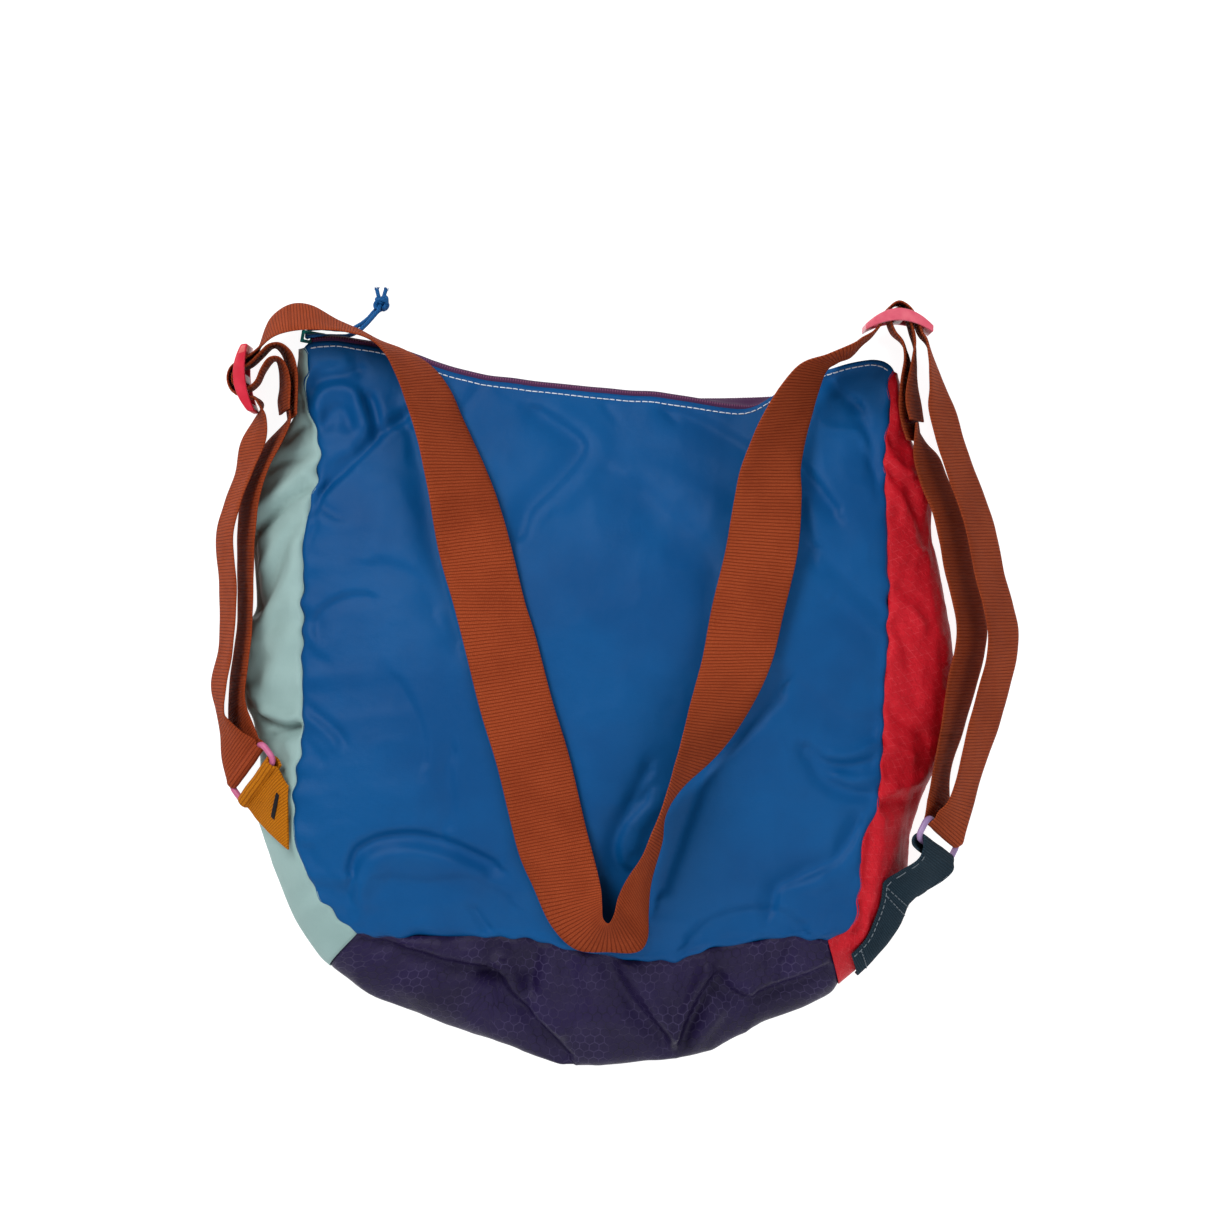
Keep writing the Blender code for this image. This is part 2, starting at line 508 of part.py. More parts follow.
left_end = [(-169.4, 144.5), (-168.9, 155), (-169.1, 168), (-172, 177), (-178, 182.2), (-184.5, 181.6), (-190, 176.4),
            (-195.5, 171.4), (-201.4, 168.7), (-203.6, 166.4), (-204.0, 163.8), (-203.4, 161.2), (-200.8, 158.6),
            (-196.5, 158.2), (-191.6, 162.0), (-188.4, 168.6), (-184.4, 174.2), (-179.0, 174.8), (-174.9, 170.2),
            (-172.9, 162), (-172.8, 154.5), (-173.1, 147.6)]
ribbon("left_strap_end", [(x, y, 45, x, y, 7) for x, y in left_end], ORANGE, per=3, origin=(-195.4, 163.9, LZ))

# right side
RZ = 31.0      # middle height of the right adjuster
right_outer = [(127.3, 180.9, 64.2, 127.2, 175.4, 26.7), (133, 184.8, 60, 133.4, 181.6, 22), (139, 188.4, 54, 139, 187, 16),
               (143.2, 193, 50, 143.2, 193, 12), (146.4, 199.8, 50, 146.4, 199.8, 12), (152.5, 204.3, 50, 152.5, 204.3, 12),
               (158.8, 200.8, 50, 158.8, 200.8, 12), (162.2, 194.8, 50, 162.2, 194.8, 12), (165, 188, 49.5, 165.2, 187.8, 11.6),
               (168, 181.5, 48.5, 171, 180.5, 11), (170, 160, 45, 177.1, 159, 8), (170.5, 148, 43, 179, 148, 6),
               (174.5, 131, 40.7, 184, 131.7, 4), (180, 114, 39.6, 189.5, 116, 3), (188, 92, 38.5, 198.6, 92, 2),
               (191.8, 77, 38.4, 202.5, 77.9, 2), (195.5, 59, 38.4, 206, 59, 2), (199.8, 42, 38.2, 211, 41.9, 2),
               (202.3, 28, 38.2, 213.7, 28.4, 2), (201.8, 14, 38.3, 212.8, 15, 2), (198, 0, 38, 209.6, 0, 2),
               (192, -22, 39, 203.4, -22, 3), (186, -45, 41, 197.8, -46, 5), (180, -61.5, 42, 195, -66, 7.5),
               (174.2, -68.6, 42.5, 190.6, -79.8, 11)]
ribbon("right_strap_outer", right_outer, ORANGE, per=2)
right_inner = [(162.0, 139.8, 50, 162.6, 139.2, 12), (164.6, 132, 46, 168, 130.5, 8.5), (168, 121, 43, 175, 122, 6),
               (171.3, 108, 41, 180.6, 109, 4), (178, 92, 39.5, 188.2, 93.5, 3), (181.5, 77, 38.8, 191.8, 78, 2),
               (184.8, 60, 38.6, 195, 60, 2), (188.6, 45, 38.6, 198.8, 45, 2), (191, 30, 38.6, 201.3, 30, 2),
               (190, 18, 38.7, 200.2, 18, 2), (186.2, 1, 39, 196, 1, 2.5), (178.5, -27, 40.6, 188.5, -27, 4),
               (171.2, -46, 43.5, 182.4, -48, 7.5), (168.4, -61.5, 42, 182.4, -71.5, 8.5)]
ribbon("right_strap_inner", right_inner, ORANGE, per=2)
right_end = [(160.2, 130.6), (157.8, 140), (156.4, 150), (156.2, 162), (157.2, 174), (155.2, 183.0), (150.4, 188.4),
             (148.0, 194.4), (148.9, 199.1), (152.6, 200.9), (156.4, 199.2), (158.4, 194.4), (160.4, 188), (161.6, 181),
             (160.9, 172), (159.6, 160), (160.0, 150), (161.6, 141.2)]
ribbon("right_strap_end", [(x, y, 50, x, y, 12) for x, y in right_end], ORANGE, per=3, origin=(152.5, 190.0, RZ))


# ---------------------------------------------------------------- adjusters
def adjuster(name, centre, b_dir, c_dir, bow, rgb):
    """Three-bar webbing adjuster: bars upright, bowed outwards along c_dir."""
    b_dir, c_dir = unit(np.array(b_dir, float)), unit(np.array(c_dir, float))
    ha, hs = FRAME_A / 2, SLOT_A / 2
    a_cuts = [-ha, -hs, hs, ha]
    b_cuts = [-18.0, -13.6, -10.8, -6.4, -2.2, 2.2, 6.4, 10.8, 13.6, 18.0]
    c_cuts = [-FRAME_T / 2, FRAME_T / 2]

    def cells(i, j, k):
        return i != 1 or j in (0, 4, 8)

    def place(a, b, c):
        off = c + bow * (1.0 - (b / 18.0) ** 2)
        p = np.array(centre) + b_dir * b + c_dir * off + np.array((0.0, 0.0, a))
        return tuple(p)

    ob = cell_solid(name, (a_cuts, b_cuts, c_cuts), cells, place, rgb, 0.35, False, origin=centre)
    return ob


adjuster("left_adjuster", (-195.4, 163.9, LZ), (0.10, -0.995, 0), (-0.995, -0.10, 0), 4.6, (0.560, 0.012, 0.045))
adjuster("right_adjuster", (152.6, 190.0, RZ), (1.0, -0.03, 0), (0.03, 1.0, 0), 7.4, (0.620, 0.095, 0.150))


# ---------------------------------------------------------------- rings
def ring(name, centre, long_dir, short_hint, rgb):
    """Moulded rectangular loop of round bar."""
    l = unit(np.array(long_dir, float))
    sh = np.array(short_hint, float)
    sh = unit(sh - l * float(np.dot(sh, l)))
    n = np.cross(l, sh)
    ha, hb, r = RING_A / 2, RING_B / 2, 3.6
    pts = []
    for cx, cy, a0 in ((ha - r, hb - r, 0), (-(ha - r), hb - r, 90), (-(ha - r), -(hb - r), 180), (ha - r, -(hb - r), 270)):
        for k in range(4):
            a = math.radians(a0 + 30 * k)
            pts.append((cx + r * math.cos(a), cy + r * math.sin(a)))
    loop = [np.array(centre) + l * p[0] + sh * p[1] for p in pts]
    m, sides = len(loop), 8
    verts, faces = [], []
    for k in range(m):
        t = unit(loop[(k + 1) % m] - loop[k - 1])
        side = np.cross(n, t)
        for j in range(sides):
            a = 2 * math.pi * j / sides
            verts.append(tuple(loop[k] + RING_R * (math.cos(a) * side + math.sin(a) * n)))
    for k in range(m):
        for j in range(sides):
            a, b = k * sides + j, k * sides + (j + 1) % sides
            c, d = ((k + 1) % m) * sides + (j + 1) % sides, ((k + 1) % m) * sides + j
            faces.append((a, b, c, d))
    ob = new_object(name, verts, faces, rgb, 0.3, True, origin=centre)
    return ob


L_RING = (-194.3, -48.0, 26.5)
L_LONG = (-18.5, -24.0, -28.5)
L_SHORT = (-0.38, 0.92, 0.0)
R_RING = (174.8, -84.4, 25.0)
R_LONG = (17.7, -15.5, -33.0)
R_SHORT = (0.36, 0.93, 0.0)
ring("left_ring", L_RING, L_LONG, L_SHORT, (0.420, 0.110, 0.220))
ring("right_ring", R_RING, R_LONG, R_SHORT, (0.270, 0.175, 0.350))


# ---------------------------------------------------------------- anchor tabs
def tab(name, rows_hi_lo, rgb, across=4):
    """Webbing tab from rows (high edge point, low edge point)."""
    grid = []
    for hi, lo in rows_hi_lo:
        hi, lo = np.array(hi, float), np.array(lo, float)
        grid.append([hi + (lo - hi) * k / across for k in range(across + 1)])
    return np.array(grid)


def grid_at(g, s_val, v_val):
    """Point of a grid surface at fractions s (rows) and v (columns)."""
    fs, fv = s_val * (g.shape[0] - 1), v_val * (g.shape[1] - 1)
    i, j = min(int(fs), g.shape[0] - 2), min(int(fv), g.shape[1] - 2)
    a, b = fs - i, fv - j
    return ((1 - a) * (1 - b) * g[i, j] + a * (1 - b) * g[i + 1, j]
            + (1 - a) * b * g[i, j + 1] + a * b * g[i + 1, j + 1])


def thick_strip(name, g, towards, rgb):
    n = grid_normals(g)
    if float((n * np.array(towards, float)).sum(axis=2).mean()) < 0:
        n = -n
    outer, inner = g + n * WEB_T, g.copy()
    ob = thick_grid(name, outer, inner, rgb, 0.8, False)
    return ob


left_tab = tab("left_anchor_tab", [((-180.2, -44.2, 42), (-197.2, -66.4, 16.4)), ((-179.0, -53, 43), (-195.8, -72.5, 14)),
                                   ((-177.5, -64, 43.5), (-194.0, -79, 12.5)), ((-175.5, -75, 43.5), (-191.0, -86.5, 11.5)),
                                   ((-173.6, -86, 43.0), (-187.5, -93.5, 11.5))], None)
thick_strip("left_anchor_tab", left_tab, (-0.7, -0.3, 0.6), (0.370, 0.115, 0.010))

rt = [[(165.2, -88.6, 43.5), (182.8, -101.5, 11.0)], [(161.8, -94.5, 42.5), (176.5, -107.0, 10.0)]]
rtab = list(tab("x", rt, None))
n_rs = grid_normals(right_side)
n_rs = n_rs if float(n_rs[:, :, 0].mean()) > 0 else -n_rs
for k in range(7):
    sv = 0.835 + 0.135 * k / 6
    rtab.append([grid_at(right_side, sv, 0.16 + 0.52 * q / 4) + unit(grid_at(n_rs, sv, 0.16 + 0.52 * q / 4)) * 1.8
                 for q in range(5)])
thick_strip("right_anchor_tab", np.array(rtab), (0.8, -0.3, 0.4), (0.016, 0.036, 0.050))
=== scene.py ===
# Looks for the zip-top convertible tote / backpack: camera, light, fabric panels,
# webbing, zip, cord, adjusters, rings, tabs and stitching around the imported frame.
# Points are written in millimetres of the part's design frame; SHIFT brings them to
# the row frame and everything is made in metres.
import json
import math
import bpy
import bmesh
import numpy as np
from mathutils import Vector
from mathutils.bvhtree import BVHTree
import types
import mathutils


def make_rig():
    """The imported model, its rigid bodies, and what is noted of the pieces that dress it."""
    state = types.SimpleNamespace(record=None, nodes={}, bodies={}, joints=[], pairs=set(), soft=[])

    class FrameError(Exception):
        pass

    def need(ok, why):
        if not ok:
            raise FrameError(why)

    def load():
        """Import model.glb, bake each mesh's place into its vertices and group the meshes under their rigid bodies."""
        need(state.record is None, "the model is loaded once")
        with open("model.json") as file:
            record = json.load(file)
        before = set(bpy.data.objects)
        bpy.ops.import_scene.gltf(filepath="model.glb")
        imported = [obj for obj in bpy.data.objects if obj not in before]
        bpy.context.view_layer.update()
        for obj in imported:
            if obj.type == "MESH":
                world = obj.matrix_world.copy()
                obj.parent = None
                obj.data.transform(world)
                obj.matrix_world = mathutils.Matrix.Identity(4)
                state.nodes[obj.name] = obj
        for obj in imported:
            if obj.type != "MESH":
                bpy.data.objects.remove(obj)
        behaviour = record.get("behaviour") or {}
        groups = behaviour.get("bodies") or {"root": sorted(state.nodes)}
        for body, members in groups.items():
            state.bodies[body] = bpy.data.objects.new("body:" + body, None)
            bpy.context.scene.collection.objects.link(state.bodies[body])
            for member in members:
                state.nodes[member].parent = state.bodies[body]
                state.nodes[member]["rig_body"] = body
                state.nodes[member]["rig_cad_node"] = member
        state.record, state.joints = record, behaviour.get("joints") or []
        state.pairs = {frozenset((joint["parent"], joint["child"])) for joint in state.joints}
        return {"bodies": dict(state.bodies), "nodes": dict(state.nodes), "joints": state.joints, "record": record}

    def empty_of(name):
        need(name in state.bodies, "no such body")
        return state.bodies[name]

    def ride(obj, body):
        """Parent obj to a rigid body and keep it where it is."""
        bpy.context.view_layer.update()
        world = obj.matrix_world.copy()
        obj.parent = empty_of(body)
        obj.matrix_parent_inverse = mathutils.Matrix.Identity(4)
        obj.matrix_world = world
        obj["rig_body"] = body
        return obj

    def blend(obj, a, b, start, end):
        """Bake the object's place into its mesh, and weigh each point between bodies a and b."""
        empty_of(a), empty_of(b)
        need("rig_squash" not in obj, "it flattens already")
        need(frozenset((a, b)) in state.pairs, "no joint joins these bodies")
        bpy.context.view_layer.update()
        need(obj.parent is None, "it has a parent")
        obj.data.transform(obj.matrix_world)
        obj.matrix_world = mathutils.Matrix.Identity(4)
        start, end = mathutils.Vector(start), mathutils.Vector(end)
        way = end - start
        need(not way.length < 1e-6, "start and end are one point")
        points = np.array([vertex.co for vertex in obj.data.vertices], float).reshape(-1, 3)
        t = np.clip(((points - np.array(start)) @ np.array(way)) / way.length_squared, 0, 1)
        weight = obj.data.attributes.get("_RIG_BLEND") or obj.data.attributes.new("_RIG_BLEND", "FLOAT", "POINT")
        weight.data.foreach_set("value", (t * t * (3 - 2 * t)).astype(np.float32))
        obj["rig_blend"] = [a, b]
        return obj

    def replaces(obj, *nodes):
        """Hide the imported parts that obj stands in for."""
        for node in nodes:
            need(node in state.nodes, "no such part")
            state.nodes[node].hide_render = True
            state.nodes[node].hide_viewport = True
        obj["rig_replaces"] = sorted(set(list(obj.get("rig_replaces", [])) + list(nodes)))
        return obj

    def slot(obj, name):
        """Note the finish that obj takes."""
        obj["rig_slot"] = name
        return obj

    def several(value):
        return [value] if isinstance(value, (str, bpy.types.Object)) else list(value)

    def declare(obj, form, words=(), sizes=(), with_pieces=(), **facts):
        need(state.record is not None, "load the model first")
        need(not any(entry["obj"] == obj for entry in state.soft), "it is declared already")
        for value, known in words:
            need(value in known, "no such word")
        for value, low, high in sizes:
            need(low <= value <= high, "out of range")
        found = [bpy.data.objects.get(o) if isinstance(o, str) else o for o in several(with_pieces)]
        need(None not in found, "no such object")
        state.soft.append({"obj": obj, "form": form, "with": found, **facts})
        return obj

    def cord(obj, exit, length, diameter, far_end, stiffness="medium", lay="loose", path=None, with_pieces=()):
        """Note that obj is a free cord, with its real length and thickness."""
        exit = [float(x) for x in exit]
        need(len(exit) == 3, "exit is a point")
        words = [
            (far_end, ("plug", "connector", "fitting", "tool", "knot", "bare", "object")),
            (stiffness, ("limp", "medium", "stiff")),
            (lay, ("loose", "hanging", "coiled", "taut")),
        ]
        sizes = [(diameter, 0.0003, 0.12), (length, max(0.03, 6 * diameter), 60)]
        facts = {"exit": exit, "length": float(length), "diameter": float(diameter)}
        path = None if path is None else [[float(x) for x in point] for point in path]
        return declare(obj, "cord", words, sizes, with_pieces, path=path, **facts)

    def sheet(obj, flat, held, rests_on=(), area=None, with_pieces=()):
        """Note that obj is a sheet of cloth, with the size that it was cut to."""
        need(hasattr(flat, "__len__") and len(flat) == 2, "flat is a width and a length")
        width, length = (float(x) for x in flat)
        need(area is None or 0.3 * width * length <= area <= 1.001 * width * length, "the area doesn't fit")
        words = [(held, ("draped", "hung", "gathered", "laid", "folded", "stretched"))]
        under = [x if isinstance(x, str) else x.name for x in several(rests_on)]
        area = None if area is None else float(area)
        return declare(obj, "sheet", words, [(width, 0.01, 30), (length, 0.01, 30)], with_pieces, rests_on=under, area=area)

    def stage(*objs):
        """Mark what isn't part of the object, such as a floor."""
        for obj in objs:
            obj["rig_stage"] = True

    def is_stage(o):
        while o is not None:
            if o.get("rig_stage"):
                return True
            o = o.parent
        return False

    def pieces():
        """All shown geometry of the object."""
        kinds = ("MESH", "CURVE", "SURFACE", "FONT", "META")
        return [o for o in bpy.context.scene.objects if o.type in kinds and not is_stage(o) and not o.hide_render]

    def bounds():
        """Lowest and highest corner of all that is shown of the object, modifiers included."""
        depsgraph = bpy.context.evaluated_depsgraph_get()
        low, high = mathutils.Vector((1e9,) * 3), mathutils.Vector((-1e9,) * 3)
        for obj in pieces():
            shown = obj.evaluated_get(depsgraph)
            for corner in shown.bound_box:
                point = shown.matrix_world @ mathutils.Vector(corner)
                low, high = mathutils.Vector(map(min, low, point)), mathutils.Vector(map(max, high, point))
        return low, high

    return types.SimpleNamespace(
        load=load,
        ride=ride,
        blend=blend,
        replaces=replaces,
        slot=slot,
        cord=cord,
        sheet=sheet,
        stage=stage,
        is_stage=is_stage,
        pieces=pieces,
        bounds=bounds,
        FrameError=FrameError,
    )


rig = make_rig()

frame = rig.load()


def flat(b):
    return [[float(c) for c in p] for p in b]


CAD_BOX = flat(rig.bounds())
scene = bpy.context.scene
SHIFT = np.array((0.05, 0.50, 0.0))


def m3(p):
    """Millimetres of the design frame to metres of the row frame."""
    return (np.asarray(p, float) + SHIFT) * 0.001


# ------------------------------------------------------------------ camera, light
cam_data = bpy.data.cameras.new("cam")
cam_data.sensor_width = 36.0
CAM_H = 2.75
cam_data.lens = 36.0 * CAM_H / 0.6591
cam_data.clip_end = 20.0
cam = bpy.data.objects.new("cam", cam_data)
cam.location = (-0.0002, 0.0385, CAM_H + 0.03)
cam.rotation_euler = (0.0, 0.0, 0.0)
scene.collection.objects.link(cam)
scene.camera = cam

scene.view_settings.view_transform = "Standard"
world = bpy.data.worlds.new("studio")
world.use_nodes = True
world.node_tree.nodes["Background"].inputs["Color"].default_value = (0.97, 0.985, 1.0, 1.0)
world.node_tree.nodes["Background"].inputs["Strength"].default_value = 0.40
scene.world = world


def area(name, loc, target, size, power, color=(1, 1, 1)):
    l = bpy.data.lights.new(name, "AREA")
    l.shape = "RECTANGLE"
    l.size, l.size_y = size
    l.energy = power
    l.color = color
    o = bpy.data.objects.new(name, l)
    o.location = loc
    o.rotation_euler = (Vector(target) - Vector(loc)).to_track_quat("-Z", "Y").to_euler()
    o.visible_camera = False
    scene.collection.objects.link(o)
    return o


area("key", (-0.95, 1.05, 1.55), (0, 0, 0.03), (0.9, 0.9), 30.0, (1.0, 0.985, 0.965))
area("fill", (1.25, -0.35, 1.7), (0, 0, 0.03), (1.1, 1.1), 9.0, (0.96, 0.98, 1.0))
area("front", (0.0, -1.5, 1.2), (0, 0, 0.03), (1.4, 0.8), 9.0)

# ------------------------------------------------------------------ curve tools


def unit(v):
    n = np.linalg.norm(v, axis=-1, keepdims=True)
    return v / np.maximum(n, 1e-9)


def arc_sample(pts, n):
    p = np.array(pts, dtype=float)
    d = np.r_[0.0, np.cumsum(np.linalg.norm(np.diff(p, axis=0), axis=1))]
    t = np.linspace(0.0, d[-1], n + 1)
    return np.stack([np.interp(t, d, p[:, k]) for k in range(p.shape[1])], axis=1)


def catmull(pts, per):
    p = np.array(pts, dtype=float)
    q = np.vstack([2 * p[0] - p[1], p, 2 * p[-1] - p[-2]])
    out = []
    for i in range(1, len(q) - 2):
        a, b, c, d = q[i - 1], q[i], q[i + 1], q[i + 2]
        for k in range(per):
            t = k / per
            out.append(0.5 * ((2 * b) + (c - a) * t + (2 * a - 5 * b + 4 * c - d) * t * t
                              + (3 * b - a - 3 * c + d) * t ** 3))
    out.append(p[-1])
    return np.array(out)


def smooth_border(pts, n, per=6):
    return arc_sample(catmull(pts, per), n)


def coons(top, bottom, left, right):
    nu, nv = len(top), len(left)
    u = np.linspace(0, 1, nu)[:, None, None]
    v = np.linspace(0, 1, nv)[None, :, None]
    t, b = top[:, None, :], bottom[:, None, :]
    l, r = left[None, :, :], right[None, :, :]
    c = ((1 - u) * (1 - v) * top[0] + u * (1 - v) * top[-1]
         + (1 - u) * v * bottom[0] + u * v * bottom[-1])
    return (1 - v) * t + v * b + (1 - u) * l + u * r - c


def grid_normals(g, towards):
    du = np.gradient(g, axis=0)
    dv = np.gradient(g, axis=1)
    n = unit(np.cross(du, dv))
    if float((n * np.array(towards, float)).sum(axis=2).mean()) < 0:
        n = -n
    return n


def lattice(ix, iy, seed):
    h = np.sin(ix * 127.1 + iy * 311.7 + seed * 74.7) * 43758.5453
    return h - np.floor(h)


def noise2(x, y, scale, seed=0.0):
    """Smooth value noise from -1 to 1."""
    x, y = np.asarray(x, float) / scale, np.asarray(y, float) / scale
    ix, iy = np.floor(x), np.floor(y)
    fx, fy = x - ix, y - iy
    sx, sy = fx * fx * fx * (fx * (fx * 6 - 15) + 10), fy * fy * fy * (fy * (fy * 6 - 15) + 10)
    a, b = lattice(ix, iy, seed), lattice(ix + 1, iy, seed)
    c, d = lattice(ix, iy + 1, seed), lattice(ix + 1, iy + 1, seed)
    return 2 * ((a * (1 - sx) + b * sx) * (1 - sy) + (c * (1 - sx) + d * sx) * sy) - 1


def ridged(x, y, scale, seed=0.0):
    """Creased noise: sharp ridges, soft valleys, from 0 to 1."""
    wx = x + scale * 0.35 * noise2(x, y, scale * 1.7, seed + 5)
    wy = y + scale * 0.35 * noise2(x, y, scale * 1.7, seed + 9)
    return 1.0 - np.abs(noise2(wx, wy, scale, seed))


def stroke(xy, pts, w, amp, back=None):
    """A crease along a line: amp high, w wide (mm), back = width on its right-hand side."""
    pts = np.array(pts, float)
    x, y = xy
    best = np.full(x.shape, 1e9)
    side = np.zeros(x.shape)
    for a, b in zip(pts[:-1], pts[1:]):
        d = b - a
        t = np.clip(((x - a[0]) * d[0] + (y - a[1]) * d[1]) / max(float(d @ d), 1e-9), 0, 1)
        qx, qy = x - (a[0] + t * d[0]), y - (a[1] + t * d[1])
        r = np.hypot(qx, qy)
        near = r < best
        best = np.where(near, r, best)
        side = np.where(near, d[0] * qy - d[1] * qx, side)
    ww = np.where(side >= 0, w, back if back else w)
    return amp * np.exp(-(best / ww) ** 2)


def line(pts, per=5):
    return catmull(pts, per)


def dent(xy, c, rx, ry, ang, amp):
    x, y = xy
    ca, sa = math.cos(math.radians(ang)), math.sin(math.radians(ang))
    dx, dy = x - c[0], y - c[1]
    return amp * np.exp(-((dx * ca + dy * sa) / rx) ** 2 - ((-dx * sa + dy * ca) / ry) ** 2)


# ------------------------------------------------------------------ materials


def new_mat(name, color, rough, **more):
    m = bpy.data.materials.new(name)
    m.use_nodes = True
    nt = m.node_tree
    b = nt.nodes["Principled BSDF"]
    b.inputs["Base Color"].default_value = (*color, 1.0)
    b.inputs["Roughness"].default_value = rough
    for k, v in more.items():
        b.inputs[k.replace("_", " ")].default_value = v
    return m, nt, b


class Net:
    """Short way to write shader nodes."""

    def __init__(self, nt):
        self.nt = nt

    def node(self, kind, ins=None, **props):
        n = self.nt.nodes.new(kind)
        for k, v in props.items():
            setattr(n, k, v)
        for k, v in (ins or {}).items():
            if hasattr(v, "is_output"):
                self.nt.links.new(v, n.inputs[k])
            else:
                n.inputs[k].default_value = v
        return n

    def math(self, op, a, b=None, c=None, clamp=False):
        ins = {0: a}
        if b is not None:
            ins[1] = b
        if c is not None:
            ins[2] = c
        return self.node("ShaderNodeMath", ins, operation=op, use_clamp=clamp).outputs[0]

    def vec(self, op, a, b=None, scale=None):
        ins = {0: a}
        if b is not None:
            ins[1] = b
        n = self.node("ShaderNodeVectorMath", ins, operation=op)
        if scale is not None:
            if hasattr(scale, "is_output"):
                self.nt.links.new(scale, n.inputs["Scale"])
            else:
                n.inputs["Scale"].default_value = scale
        return n

    def link(self, a, b):
        self.nt.links.new(a, b)

    def mixc(self, fac, a, b, mode="MIX"):
        n = self.node("ShaderNodeMix", {}, data_type="RGBA", blend_type=mode)
        for sock, v in ((n.inputs["Factor"], fac), (n.inputs["A"], a), (n.inputs["B"], b)):
            if hasattr(v, "is_output"):
                self.nt.links.new(v, sock)
            elif sock.type == "VALUE":
                sock.default_value = v
            else:
                sock.default_value = (*v, 1.0) if len(v) == 3 else v
        return n.outputs["Result"]

    def ramp(self, fac, lo, hi):
        """0 below lo, 1 above hi, smooth between."""
        n = self.node("ShaderNodeMapRange", {"Value": fac, "From Min": lo, "From Max": hi}, interpolation_type="SMOOTHSTEP")
        return n.outputs[0]


def uv_mm(net):
    """UV coordinates, stored in units of 100 mm, back to millimetres."""
    uv = net.node("ShaderNodeUVMap", {}, uv_map="UVMap").outputs[0]
    return net.vec("SCALE", uv, scale=100.0).outputs[0]


def split(net, v):
    s = net.node("ShaderNodeSeparateXYZ", {0: v})
    return s.outputs[0], s.outputs[1]


def tri(net, x, pitch):
    """0 at the middle of each line of a grid, 0.5 half-way between lines."""
    f = net.math("FRACT", net.math("DIVIDE", x, pitch))
    return net.math("ABSOLUTE", net.math("SUBTRACT", f, 0.5))


